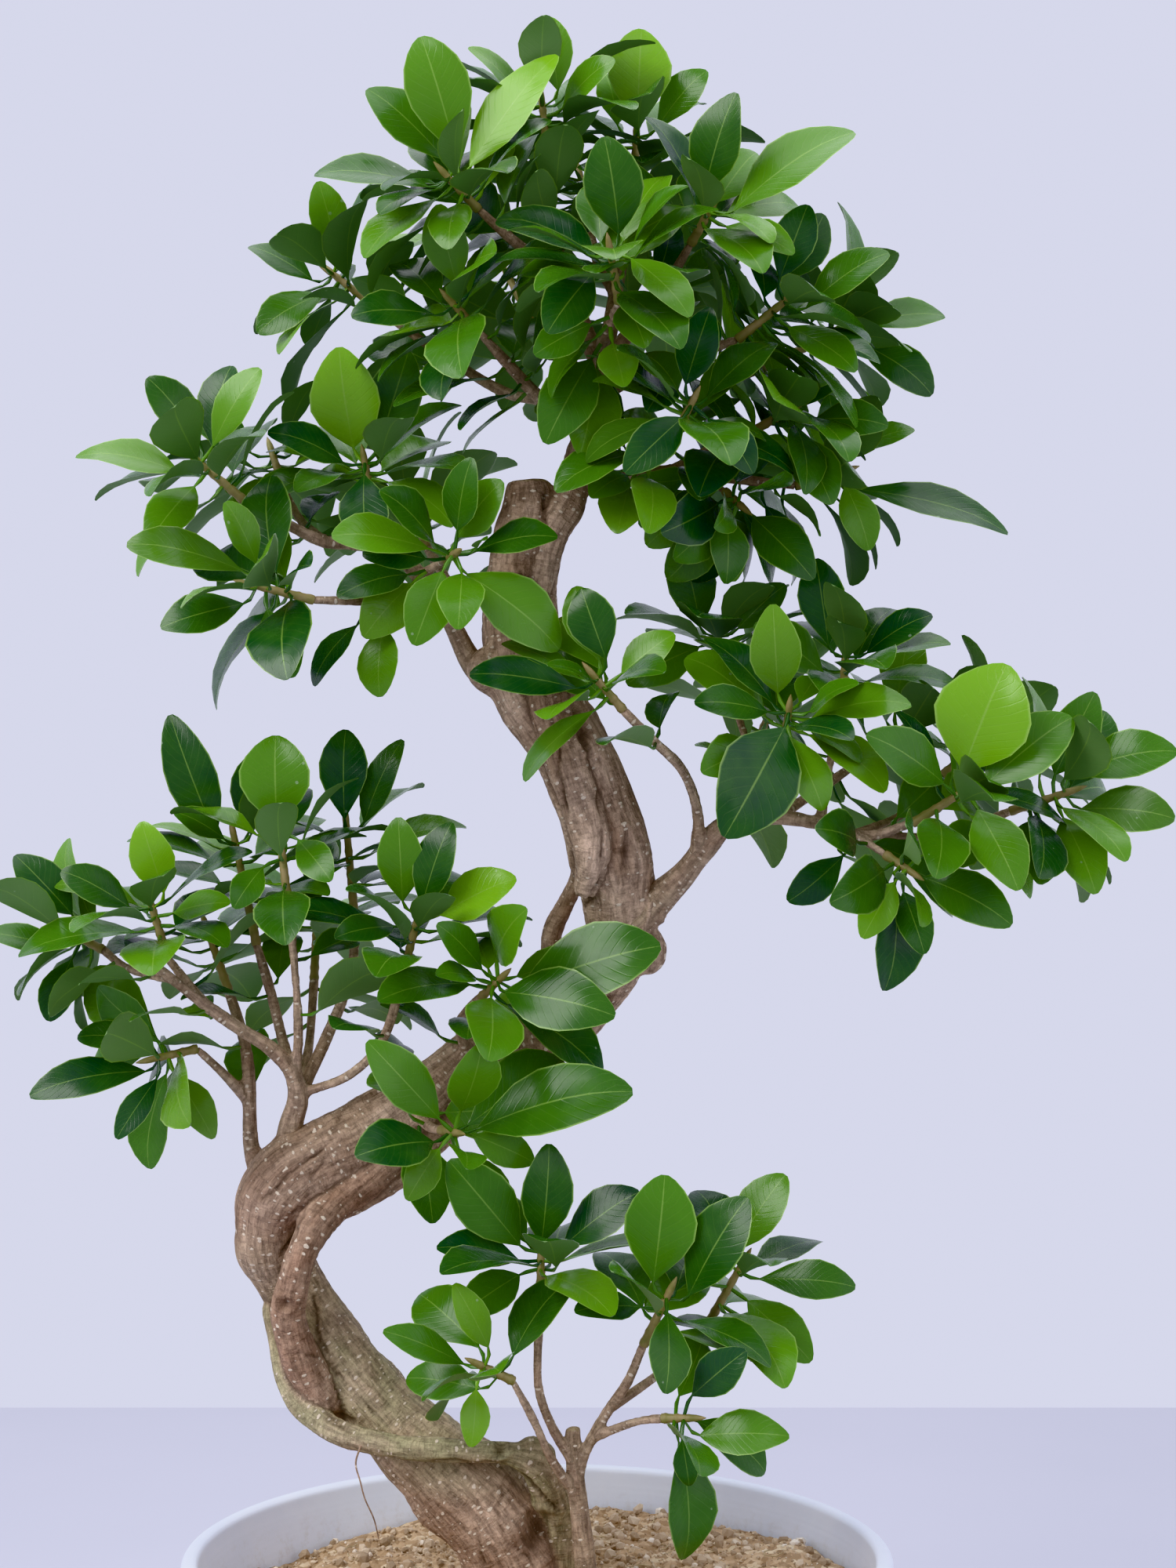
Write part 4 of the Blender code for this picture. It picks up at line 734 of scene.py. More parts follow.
def bark_stuff(name, light, dark, red, green):
    """Bark of a fig: thin skin in two close browns, fibres along the stem 2 mm wide, rings
    of fine wrinkles, and cream corky lenticels. It reads each point's place on the stem
    as if the stem stood straight, so the pattern follows every bend."""
    mat, shader = new_material(name)
    place = add(mat, "ShaderNodeTexCoord")
    stem = add(mat, "ShaderNodeAttribute", attribute_name="straight")

    def noise(stretch, size, detail=5.0, low=0.35, high=0.65, least=0.0, most=1.0):
        """Noise whose grains are this size, drawn out by stretch, spread over a range."""
        drawn = add(mat, "ShaderNodeMapping", [("Vector", stem.outputs["Vector"])])
        drawn.inputs["Scale"].default_value = stretch
        cloud = add(mat, "ShaderNodeTexNoise", [("Vector", drawn.outputs[0])],
                    Scale=1 / size, Detail=detail, Roughness=0.62)
        spread = add(mat, "ShaderNodeMapRange", [("Value", cloud.outputs["Fac"])],
                     From_Min=low, From_Max=high, To_Min=least, To_Max=most)
        return spread.outputs[0]

    def blend(factor, under, over):
        """Colour under with colour over laid on it by factor."""
        mix = add(mat, "ShaderNodeMix", [("Factor", factor), (6, under)], data_type="RGBA")
        mix.inputs[7].default_value = linear(over)
        return mix.outputs[2]

    def times(a, b):
        """Product of two numbers."""
        return add(mat, "ShaderNodeMath", [(0, a), (1, b)], operation="MULTIPLY").outputs[0]

    base = add(mat, "ShaderNodeMix", [("Factor", noise((1, 1, 0.5), 0.022, 6.0))],
               data_type="RGBA")
    base.inputs[6].default_value = linear(dark)
    base.inputs[7].default_value = linear(light)
    colour = base.outputs[2]
    for mark, tint, most in (("red", red, 0.6), ("green", green, 0.9)):
        where = add(mat, "ShaderNodeAttribute", attribute_name=mark)
        share = times(where.outputs["Fac"], noise((1, 1, 0.6), 0.014, 4.0, 0.3, 0.62,
                                                  0.25 * most, most))
        colour = blend(share, colour, tint)
    fibres = noise((1, 1, 0.20), 0.0021, 6.0, 0.38, 0.56, 0.0, 1.0)
    wrinkles = noise((0.35, 0.35, 1), 0.0017, 5.0, 0.36, 0.54, 0.0, 1.0)
    fine = noise((1, 1, 0.8), 0.0006, 3.0, 0.30, 0.60, 0.0, 1.0)
    light_of = []
    # Painted shade: fibres, wrinkles and fine grain darken the colour where they are low, where the
    # bump below sinks the fibres and wrinkles into grooves.
    for layer, least in ((fibres, 0.66), (wrinkles, 0.80), (fine, 0.80)):
        level = add(mat, "ShaderNodeMapRange", [("Value", layer)], To_Min=least, To_Max=1.06)
        light_of.append(level.outputs[0])
    shaded = add(mat, "ShaderNodeMix", [(6, colour)], data_type="RGBA", blend_type="MULTIPLY")
    shaded.inputs["Factor"].default_value = 1.0
    mat.node_tree.links.new(times(times(light_of[0], light_of[1]), light_of[2]),
                            shaded.inputs[7])
    # Lenticels: dashes 1 to 2 mm long lying across the stem, 4.5 mm apart, broken edges.
    dashes = add(mat, "ShaderNodeMapping", [("Vector", stem.outputs["Vector"])])
    dashes.inputs["Scale"].default_value = (0.8, 0.8, 1.45)
    cell = add(mat, "ShaderNodeTexVoronoi", [("Vector", dashes.outputs[0])], Scale=1 / 0.0037)
    part = add(mat, "ShaderNodeSeparateColor", [("Color", cell.outputs["Color"])])
    width = add(mat, "ShaderNodeMapRange", [("Value", part.outputs[0])],
                From_Min=0.10, From_Max=1.0, To_Min=0.10, To_Max=0.33)
    ragged = add(mat, "ShaderNodeMath", [
        (0, cell.outputs["Distance"]),
        (1, noise((1, 1, 1), 0.0012, 3.0, 0.35, 0.65, -0.05, 0.06))], operation="ADD")
    inside = add(mat, "ShaderNodeMath", [(0, width.outputs[0]), (1, ragged.outputs[0])],
                 operation="SUBTRACT")
    fleck = add(mat, "ShaderNodeMapRange", [("Value", inside.outputs[0])],
                From_Min=0.0, From_Max=0.06, To_Min=0.0, To_Max=0.9)
    colour = blend(fleck.outputs[0], shaded.outputs[2], "#e6d6c0")
    # Painted shade: the attribute read here darkens the bark towards #43352a in the crease where two
    # stems meet, along each fold and in the middle of each wound's dent.
    groove_shade = add(mat, "ShaderNodeAttribute", attribute_name="groove_shade")
    colour = blend(groove_shade.outputs["Fac"], colour, "#43352a")
    # Sawn wood shows pale, with a faint noise grain.
    sawn = add(mat, "ShaderNodeAttribute", attribute_name="sawn")
    grain_of = add(mat, "ShaderNodeTexNoise", [("Vector", place.outputs["Object"])],
                   Scale=1 / 0.002, Detail=4.0)
    wood = add(mat, "ShaderNodeMix", [("Factor", grain_of.outputs["Fac"])], data_type="RGBA")
    wood.inputs[6].default_value = linear("#9d8463")
    wood.inputs[7].default_value = linear("#cdbb98")
    face = add(mat, "ShaderNodeMix", [("Factor", sawn.outputs["Fac"]), (6, colour),
                                      (7, wood.outputs[2])], data_type="RGBA")
    mat.node_tree.links.new(face.outputs[2], shader.inputs["Base Color"])
    raised = add(mat, "ShaderNodeMath", [(0, fibres), (1, wrinkles)], operation="ADD")
    raised = add(mat, "ShaderNodeMath", [(0, raised.outputs[0]), (1, fleck.outputs[0])],
                 operation="ADD")
    relief = add(mat, "ShaderNodeBump", [("Height", raised.outputs[0])],
                 Strength=0.6, Distance=0.0007)
    mat.node_tree.links.new(relief.outputs[0], shader.inputs["Normal"])
    shader.inputs["Roughness"].default_value = 0.8
    shader.inputs["Specular IOR Level"].default_value = 0.3
    return mat


def carved(points, normals, folds, seed):
    """How far each point is pushed out by the folds of the bark, and how much painted shade darkens it
    along the fold.

    A fold is a line over the front of the stem, given by points (x, z) in mm. With d the
    distance to the nearest line over its half width, the bark is cut exp(-d^2) deep and
    swells beside the cut by exp(-((d - 2.2) / 0.9)^2)."""
    xz = points[:, [0, 2]] + 0.0011 * np.stack([grain(points, 0.007, seed),
                                                grain(points, 0.007, seed + 1)], 1)
    nearest = np.full(len(points), 1.0)
    for line in folds:
        ends = np.array([tree_point((x, 0, z))[[0, 2]] for x, z in line])
        for a, b in zip(ends[:-1], ends[1:]):
            part = np.clip(((xz - a) @ (b - a)) / ((b - a) @ (b - a)), 0, 1)[:, None]
            nearest = np.minimum(nearest, np.linalg.norm(xz - a - part * (b - a), axis=1))
    d = nearest / FOLD_WIDTH
    front = np.clip(-normals[:, 1] * 2.5, 0, 1) * np.clip(0.7 + grain(points, 0.010, seed + 2), 0.3, 1)
    out = FOLD_LIP * np.exp(-((d - 2.2) / 0.9) ** 2) - FOLD_DEPTH * np.exp(-d ** 2)
    return front * out, front * 0.8 * np.exp(-(d / 0.8) ** 2)


def bark_piece(name, parts, paths, voxel, relief, seed, stuff, wounds=(), folds=()):
    """Stems grown into one skin, pushed along its normals by: slow swells, ridges drawn out
    along the stem, rings of wrinkles, a crease where two stems meet, and healed wounds,
    each a raised lip round a dent: lip exp(-((d - 1) / 0.25)^2), dent exp(-(d / 0.6)^2),
    where d is the distance from the wound's middle over its half width and half height."""
    skin, points = grown_together(parts, voxel, 5)
    normals = point_normals(skin, points)
    which, straight, second = nearest_path(points, paths)
    rings = np.sin(2 * math.pi * straight[:, 2] / 0.0060 + 4 * grain(points, 0.010, seed + 1))
    push = relief * (0.8 * grain(points, 0.014, seed)
                     + 0.9 * grain(straight * [1, 1, 0.2], 0.0062, seed + 2)
                     + 0.35 * grain(straight * [1, 1, 0.3], 0.0030, seed + 4)
                     + 0.14 * rings * (0.6 + 0.8 * grain(points, 0.020, seed + 3)))
    crease = np.clip(1 - second / 0.0026, 0, 1)
    push -= 0.0009 * crease * (relief > 0.0005)
    # Painted shade: the bark is darkened where two stems meet, as if shadow lay in the crease.
    dark = 0.55 * crease * (relief > 0.0005) * np.clip(0.75 + grain(points, 0.012, seed + 6), 0, 1)
    for (x, y, z), across, tall, tilt in wounds:
        gap = points - tree_point((x, y, z))
        lean = math.radians(tilt)
        u = (gap[:, 0] * math.cos(lean) + gap[:, 2] * math.sin(lean)) / (across * TREE_SCALE)
        v = (gap[:, 2] * math.cos(lean) - gap[:, 0] * math.sin(lean)) / (tall * TREE_SCALE)
        d = np.hypot(u, v) * (1 + 0.25 * grain(points, 0.006, seed + 5))
        front = np.clip(-normals[:, 1] * 4, 0, 1) * (np.abs(gap[:, 1]) < 0.022)
        push += front * (0.0014 * np.exp(-((d - 1) / 0.25) ** 2) - 0.0022 * np.exp(-(d / 0.6) ** 2))
        # The middle of each wound's dent is darkened too: painted shade in the hollow.
        dark = np.maximum(dark, front * 0.75 * np.exp(-(d / 0.55) ** 2))
    if folds:
        cut, shade = carved(points, normals, folds, seed + 9)
        push += cut
        dark = np.maximum(dark, shade)
    points = points + normals * push[:, None]
    skin.vertices.foreach_set("co", points.ravel())
    skin.name = name
    skin.polygons.foreach_set("use_smooth", np.full(len(skin.polygons), True))
    skin.update()
    piece = bpy.data.objects.new(name, skin)
    bpy.context.scene.collection.objects.link(piece)
    piece.data.materials.clear()
    piece.data.materials.append(stuff)
    layer = skin.attributes.new("straight", "FLOAT_VECTOR", "POINT")
    offset = np.stack([0 * which, 0 * which, 0.37 * which], 1)
    layer.data.foreach_set("vector", (straight + offset).astype(np.float32).ravel())
    # The darkening stored here is painted shade in creases, folds and wound dents.
    point_attribute(piece, "groove_shade", np.clip(dark, 0, 1))
    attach(piece, "root")
    return piece, points, normals, which, second


fig_bark = bark_stuff("old_fig_bark", "#cdb39b", "#9f8670", "#96725c", "#aaa680")
trunk_paths = [TRUNK, *STRANDS.values()]
parts = [fine_tube(TRUNK, 72, 0.0025, 1.0, 0.10, 31)]
parts += [fine_tube(path, 36, 0.0025, 1.0, 0.09, 40 + n) for n, path in
          enumerate(STRANDS.values())]
parts += [fine_tube(paths[0][:2], 36, 0.003, 1.10, 0.06, 60) for name, paths in LIMBS.items()
          if name != "side_stem"]
# Callus below the right limb, root knob, healed pruning scar and old leaf-branch stubs.
parts += [lump((50, 13, 296), (9, 9, 12), 71), lump((-1, -19, 73), (9, 8, 9), 72),
          lump((-4, -8, 464), (10, 6, 17), 73), lump((10, -4, 408), (9, 8, 11), 74),
          lump((-108, 0, 200), (11, 12, 9), 75), lump((-24, -4, 424), (8, 8, 10), 76)]
wounds = [((-3, -22, 462), 8, 17, 8), ((-89, -30, 122), 5, 10, 20), ((-1, -34, 37), 9, 14, -20),
          ((-112, -34, 141), 4, 4, 0), ((-16, -34, 78), 4, 4, 0), ((20, -30, 395), 4, 9, 10),
          ((40, -24, 341), 4, 10, 0), ((52, -8, 306), 4, 14, -12)]
# Folds where the bark was squeezed at each bend and where strands closed over old wood.
FOLD_WIDTH = 0.0009
FOLD_DEPTH = 0.0013
FOLD_LIP = 0.0005
folds = [
    [(-87, 228), (-93, 212), (-103, 204), (-110, 199), (-116, 193), (-123, 188)],
    [(-95, 204), (-101, 195), (-103, 188), (-104, 179), (-108, 171), (-115, 160)],
    [(-112, 179), (-105, 183)],
    [(-111, 119), (-100, 117), (-94, 112), (-90, 105)],
    [(-101, 140), (-100, 126), (-95, 116), (-89, 106), (-81, 95), (-74, 90)],
    [(-98, 93), (-90, 88), (-83, 84)],
    [(4, 504), (3, 496), (4, 487)],
    [(-11, 479), (-9, 468), (-3, 461), (4, 453), (5, 445)],
    [(28, 383), (28, 367), (29, 345), (28, 329), (21, 317)],
    [(4, 415), (9, 395), (11, 370), (15, 345), (17, 329)],
    [(2, 272), (19, 272), (33, 274)],
    [(53, 320), (52, 309), (48, 295)],
    [(-48, 73), (-18, 72), (-4, 63), (9, 49)],
    [(-16, 58), (-17, 46), (-13, 35), (-1, 27)],
    [(-41, 62), (-30, 46), (-23, 26)],
]
trunk, points, normals, which, second = bark_piece(
    "trunk_and_roots", parts, trunk_paths, 0.0015, 0.0009, 81, fig_bark, wounds, folds)
soft = np.clip(second / 0.003, 0, 1)
height = points[:, 2]
point_attribute(trunk, "red", np.clip((which == 2) * soft
                + 0.45 * np.clip((height - 0.30) / 0.06, 0, 1) * np.clip((0.42 - height) / 0.03, 0, 1)
                + 0.5 * np.clip((0.255 - height) / 0.03, 0, 1), 0, 1))
low_stem = np.clip((height - 0.245) / 0.02, 0, 1) * np.clip((0.37 - height) / 0.06, 0, 1)
point_attribute(trunk, "green",
                np.clip((which == 1) * soft * 0.9 + low_stem * (which == 0) * 0.7, 0, 1))
stump = tree_point(TRUNK[-1])
facing = normals @ unit(tree_point(TRUNK[-1]) - tree_point(TRUNK[-2]))
point_attribute(trunk, "sawn", (np.linalg.norm(points - stump, axis=1) < 0.0125) * (facing > 0.72))
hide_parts("trunk")

# A fine aerial rootlet hangs from the wrapping root, thin as a thread.
rootlet_path = [(-78, -26, 79, 0.45), (-80, -29, 72, 0.40), (-78, -29, 64, 0.40), (-76, -28, 56, 0.38),
                (-72, -28, 47, 0.35), (-70, -27, 38, 0.22)]
thread, faces = fine_tube(rootlet_path, 8, 0.0012, 1.0, 0.2, 97)
rootlet = mesh_piece("aerial_rootlet", thread, faces)
point_attribute(rootlet, "red", np.full(len(thread), 0.4))
point_attribute(rootlet, "green", np.zeros(len(thread)))
layer = rootlet.data.attributes.new("straight", "FLOAT_VECTOR", "POINT")
layer.data.foreach_set("vector", thread.astype(np.float32).ravel())
rootlet.data.materials.append(fig_bark)
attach(rootlet, "root")


# ============================== the limbs ==============================
# Younger wood of the same fig, shortened by pruning, so every limb forks and
# the forks turn up to the light. Pale brown, with a ring scar at each old leaf.

# A shoot: name, foot of its twig, tip of its twig, leaves in its spiral, their length
# in millimetres, then single leaves as (x, y, z of the tip, width over length, tilt).
SHOOTS = [
    ("crown_01", (5, -12, 652), (2, -14, 678), 9, 45, [
        (5, -20, 714, 0.5, 60), (-29, -30, 698, 0.5, 50), (33, -40, 690, 0.5, 60),
    ]),
    ("crown_02", (44, 24, 651), (45, 22, 673), 9, 45, [
        (47, 8, 716, 0.66, 75), (76, 10, 698, 0.5, 60),
    ]),
    ("crown_03", (68, -35, 610), (77, -42, 625), 8, 45, [
        (86, -55, 671, 0.55, 70), (137, -50, 657, 0.5, 45), (25, -72, 596, 0.5, 60),
        (111, -60, 602, 0.5, 40),
    ]),
    ("crown_04", (-26, -26, 627), (-40, -32, 641), 8, 44, [
        (-50, -42, 699, 0.5, 70), (8, -38, 693, 0.36, 60), (-74, -30, 680, 0.5, 60),
        (-97, -36, 642, 0.5, 40),
    ]),
    ("crown_05", (-26, -20, 574), (-38, -28, 586), 9, 45, [
        (-43, -38, 626, 0.55, 70), (-80, -44, 578, 0.5, 50),
    ]),
    ("crown_06", (-76, 34, 594), (-98, 34, 611), 9, 45, [
        (-134, 30, 622, 0.5, 50), (-101, 20, 649, 0.5, 70), (-129, 20, 581, 0.5, 50),
    ]),
    ("crown_07", (89, -28, 569), (112, -34, 587), 8, 46, [
        (119, -40, 626, 0.5, 60), (153, -44, 605, 0.5, 45), (139, -50, 553, 0.5, 70),
    ]),
    ("crown_08", (118, 16, 509), (140, 18, 516), 6, 44, [
        (171, 10, 535, 0.5, 45), (214, 8, 489, 0.3, 50), (150, 0, 479, 0.5, 75),
        (134, 20, 551, 0.5, 70),
    ]),
    ("crown_09", (97, -8, 531), (118, -12, 543), 8, 45, [
        (155, -26, 532, 0.5, 60), (130, -30, 497, 0.5, 75),
    ]),
    ("crown_10", (118, 40, 573), (146, 46, 589), 9, 45, [
        (189, 40, 592, 0.5, 50), (183, 36, 555, 0.5, 60),
    ]),
    ("crown_11", (49, 85, 599), (62, 98, 624), 10, 45, [
    ]),
    ("crown_12", (-4, 80, 594), (-17, 94, 621), 10, 45, [
    ]),
    ("crown_13", (36, -60, 580), (32, -74, 600), 8, 46, [
        (30, -84, 645, 0.58, 72), (-10, -92, 606, 0.5, 30), (65, -96, 569, 0.5, 60),
        (6, -90, 563, 0.55, 75),
    ]),
    ("crown_14", (85, 4, 505), (92, -2, 498), 5, 42, [
        (88, -8, 464, 0.5, 80), (123, -14, 465, 0.5, 75),
    ]),
    ("crown_15", (60, -46, 523), (68, -56, 538), 7, 45, [
        (39, -70, 506, 0.5, 75), (93, -72, 506, 0.5, 70), (75, -66, 576, 0.5, 70),
    ]),
    ("crown_16", (23, 58, 638), (19, 66, 662), 8, 44, [
    ]),
    ("left_01", (-131, -20, 499), (-151, -26, 516), 8, 45, [
        (-122, -40, 554, 0.45, 65), (-202, -34, 518, 0.5, 40), (-171, -30, 552, 0.5, 60),
        (-168, -50, 478, 0.5, 70),
    ]),
    ("left_02", (-76, 0, 505), (-78, -6, 518), 9, 45, [
        (-88, -24, 565, 0.62, 72), (-58, -10, 566, 0.5, 65), (-118, -26, 529, 0.5, 50),
        (-75, -34, 476, 0.5, 75),
    ]),
    ("left_03", (-98, -40, 453), (-124, -50, 459), 8, 45, [
        (-175, -60, 477, 0.4, 50), (-160, -66, 440, 0.5, 70), (-104, -66, 419, 0.5, 80),
        (-132, -66, 493, 0.5, 60),
    ]),
    ("left_04", (-54, 70, 485), (-64, 84, 509), 10, 45, [
    ]),
    ("left_05", (-40, -34, 471), (-35, -46, 473), 5, 44, [
        (-52, -60, 433, 0.55, 78), (-28, -62, 512, 0.5, 65), (-22, -58, 478, 0.5, 60),
    ]),
    ("left_06", (-117, 26, 506), (-125, 38, 528), 9, 44, [
        (-163, 36, 548, 0.5, 60),
    ]),
    ("right_01", (38, -35, 405), (25, -40, 420), 5, 42, [
        (20, -46, 457, 0.62, 75), (-28, -50, 421, 0.42, 60), (-16, -48, 438, 0.42, 45),
        (60, -44, 438, 0.55, 70), (6, -62, 424, 0.5, 40),
    ]),
    ("right_02", (85, 30, 427), (83, 30, 442), 9, 45, [
        (65, 22, 484, 0.5, 65), (113, 20, 464, 0.5, 60), (41, 14, 419, 0.5, 70),
    ]),
    ("right_03", (139, 10, 412), (140, 8, 432), 9, 45, [
        (126, 0, 474, 0.5, 68), (177, -4, 449, 0.5, 50), (97, -10, 443, 0.5, 60),
    ]),
    ("right_04", (110, -28, 393), (111, -36, 405), 7, 46, [
        (70, -56, 408, 0.5, 60), (82, -66, 351, 0.6, 78), (124, -64, 359, 0.5, 75),
        (138, -60, 416, 0.5, 50), (103, -52, 449, 0.5, 70),
    ]),
    ("right_05", (150, 30, 384), (169, 36, 398), 9, 45, [
        (172, 34, 445, 0.5, 65),
    ]),
    ("right_06", (167, -24, 355), (192, -30, 371), 7, 48, [
        (205, -44, 424, 0.8, 78), (179, -40, 418, 0.3, 10), (145, -54, 394, 0.5, 60),
        (235, -44, 405, 0.5, 55), (208, -60, 328, 0.5, 75),
    ]),
    ("right_07", (154, -32, 341), (164, -38, 334), 6, 44, [
        (207, -46, 312, 0.5, 65), (169, -48, 299, 0.5, 80), (142, -52, 306, 0.5, 80),
    ]),
    ("right_08", (102, 85, 387), (113, 100, 411), 10, 45, [
    ]),
    ("right_09", (182, 40, 372), (211, 56, 393), 10, 45, [
    ]),
    ("right_10", (214, 0, 360), (240, -6, 369), 8, 46, [
        (285, -16, 388, 0.5, 50), (282, -26, 358, 0.5, 60), (248, -30, 324, 0.5, 75),
        (250, -10, 413, 0.5, 65),
    ]),
    ("low_01", (-167, -4, 294), (-174, -8, 319), 9, 45, [
        (-176, -20, 355, 0.55, 70), (-212, -16, 334, 0.5, 50), (-137, -26, 320, 0.5, 60),
    ]),
    ("low_02", (-129, 14, 299), (-140, 18, 349), 9, 45, [
        (-168, 10, 403, 0.36, 65), (-164, 0, 360, 0.5, 55), (-130, 30, 387, 0.5, 60),
    ]),
    ("low_03", (-110, -16, 308), (-115, -22, 355), 7, 44, [
        (-115, -34, 393, 0.75, 75), (-90, -44, 331, 0.5, 65), (-132, -42, 319, 0.5, 70),
    ]),
    ("low_04", (-84, 20, 304), (-89, 24, 356), 9, 44, [
        (-89, 18, 397, 0.5, 70), (-63, 12, 392, 0.36, 65),
    ]),
    ("low_05", (-61, -16, 283), (-52, -20, 317), 8, 45, [
        (-61, -30, 357, 0.5, 70), (-38, -34, 355, 0.5, 65), (-10, -36, 331, 0.58, 60),
        (-87, -44, 306, 0.5, 65),
    ]),
    ("low_06", (-25, -14, 277), (-16, -22, 286), 6, 45, [
        (53, -40, 302, 0.5, 62), (31, -50, 270, 0.5, 65), (-42, -44, 311, 0.45, 60),
        (-12, -36, 328, 0.5, 70),
    ]),
    ("low_07", (-42, -34, 220), (-35, -44, 220), 5, 44, [
        (40, -58, 241, 0.46, 50), (-71, -66, 261, 0.42, 65), (3, -68, 205, 0.5, 65),
        (-55, -62, 194, 0.5, 75),
    ]),
    ("low_08", (-155, 4, 252), (-174, -2, 248), 6, 44, [
        (-227, -12, 234, 0.34, 50), (-207, -6, 259, 0.5, 50), (-187, -20, 215, 0.36, 70),
        (-144, -24, 216, 0.4, 75),
    ]),
    ("low_09", (-144, 30, 277), (-156, 42, 306), 8, 44, [
    ]),
    ("low_10", (-108, 68, 279), (-108, 84, 316), 9, 44, [
    ]),
    ("low_11", (-198, 6, 297), (-213, 10, 304), 7, 44, [
        (-251, 4, 305, 0.5, 50), (-238, 8, 340, 0.5, 60), (-221, -4, 266, 0.5, 70),
    ]),
    ("side_01", (2, -36, 152), (2, -38, 169), 6, 44, [
        (-37, -50, 208, 0.5, 65), (-42, -52, 172, 0.5, 45), (-33, -60, 143, 0.5, 70),
        (44, -48, 195, 0.5, 55), (6, -48, 215, 0.5, 70),
    ]),
    ("side_02", (47, -46, 128), (58, -52, 152), 6, 44, [
        (56, -60, 203, 0.62, 72), (18, -72, 148, 0.5, 55), (56, -84, 116, 0.5, 80),
        (90, -64, 194, 0.5, 60),
    ]),
    ("side_03", (74, -12, 126), (92, -14, 158), 7, 44, [
        (110, -20, 198, 0.5, 65), (141, -24, 150, 0.4, 50), (121, -30, 118, 0.5, 70),
    ]),
    ("side_04", (-10, -54, 114), (-24, -60, 122), 5, 42, [
        (-64, -66, 138, 0.36, 55), (-61, -68, 112, 0.5, 60), (-27, -72, 90, 0.5, 78),
        (-34, -68, 158, 0.4, 70),
    ]),
    ("side_05", (55, -60, 99), (66, -64, 100), 4, 42, [
        (108, -70, 94, 0.5, 60), (89, -76, 131, 0.5, 65), (66, -72, 73, 0.5, 75),
    ]),
]

young_bark = bark_stuff("young_fig_bark", "#cbb09a", "#a78a76", "#a37b66", "#a3a67c")
for number, (name, paths) in enumerate(LIMBS.items()):
    parts = [fine_tube(path, 24, 0.0020, 1.0, 0.07, 90 + n) for n, path in enumerate(paths)]
    voxel = 0.0011 if name == "limb_right" else 0.0010
    limb, points, normals, which, second = bark_piece(
        name + "_wood", parts, paths, voxel, 0.00038, 120 + 5 * number, young_bark)
    point_attribute(limb, "red", np.clip((0.50 - points[:, 2]) / 0.15, 0, 1)
                    * (0.4 if name == "limb_low" else 0.1))
    point_attribute(limb, "green", np.full(len(points), 0.25))
    ends = [tree_point(path[-1]) for path in paths if path[-1][:3] not in
            {shoot[1] for shoot in SHOOTS}]
    sawn = np.zeros(len(points))
    for end in ends:
        sawn = np.maximum(sawn, np.linalg.norm(points - end, axis=1) < 0.0034)
    point_attribute(limb, "sawn", sawn)
    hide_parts(name)


# ============================== the leafy shoots ==============================
# This year's growth: a green twig ending in a rolled bud, and thick leathery
# leaves set in a spiral, each on a short stalk, glossy above and dull below.

GAP = 0.0003             # between a branch and the twig that goes on from it
TRUNK_SIDES = 12
STRAND_SIDES = 7
BRANCH_SIDES = 5
TWIG_SIDES = 5
LEAF_LENGTH = 1.0
LEAF_WIDTH = 0.54
LEAF_THICK = 0.0009
PETIOLE = 0.009
TWIG_ROUND = 10
ROUND = np.arange(6) * math.pi / 3
ACROSS = np.array([1, 0.5, 0, -0.5, -1, 0])
FACE = np.array([0, 1, 1, 1, 0, -1])
STALK = np.array([0.0, 0.5])
BLADE = np.array([0.0, 0.06, 0.16, 0.30, 0.46, 0.62, 0.77, 0.885, 0.96, 0.995])
EXTRA = {"crown": 11, "left": 4, "right": 3, "low": 3, "side": 0}
# Tips (x, y, z in mm) of leaves with light shining through them from behind, painted a brighter green
# as painted backlight.
BACKLIT_TIPS = [(47, 8, 716), (8, -38, 693), (-88, -24, 565), (205, -44, 424), (-176, -20, 355),
          (-27, -72, 90), (-10, -36, 331)]
TIP_CURL = 0.055


def tube(path, sides, step, flutes=0.0):
    """Vertices and faces of a closed round stem along a path, with flat ends.

    Where a shoot continues the path, the last end is square to that shoot's twig.
    """
    rings = spline(path, step)
    ahead, side, up = frames(rings[:, :3])
    follower = [shoot for shoot in SHOOTS if shoot[1] == path[-1][:3]]
    if follower:
        ahead[-1] = unit(tree_point(follower[0][2]) - tree_point(follower[0][1]))
        side[-1] = unit(side[-1] - ahead[-1] * np.dot(side[-1], ahead[-1]))
        up[-1] = np.cross(ahead[-1], side[-1])
    turn = np.linspace(0.0, 2 * math.pi, sides, endpoint=False)
    along = np.arange(len(rings))[:, None]
    wave = 1.0 + flutes * np.cos(3 * turn[None, :] + 0.35 * along)
    radius = rings[:, 3:4] * wave
    verts = (rings[:, None, :3]
             + (radius * np.cos(turn))[:, :, None] * side[:, None, :]
             + (radius * np.sin(turn))[:, :, None] * up[:, None, :])
    faces = []
    for i in range(len(rings) - 1):
        for j in range(sides):
            near, far = i * sides + j, i * sides + (j + 1) % sides
            faces += [(near, far, far + sides), (near, far + sides, near + sides)]
    last = (len(rings) - 1) * sides
    faces.append(tuple(range(sides))[::-1])
    faces.append(tuple(range(last, last + sides)))
    return verts.reshape(-1, 3), faces


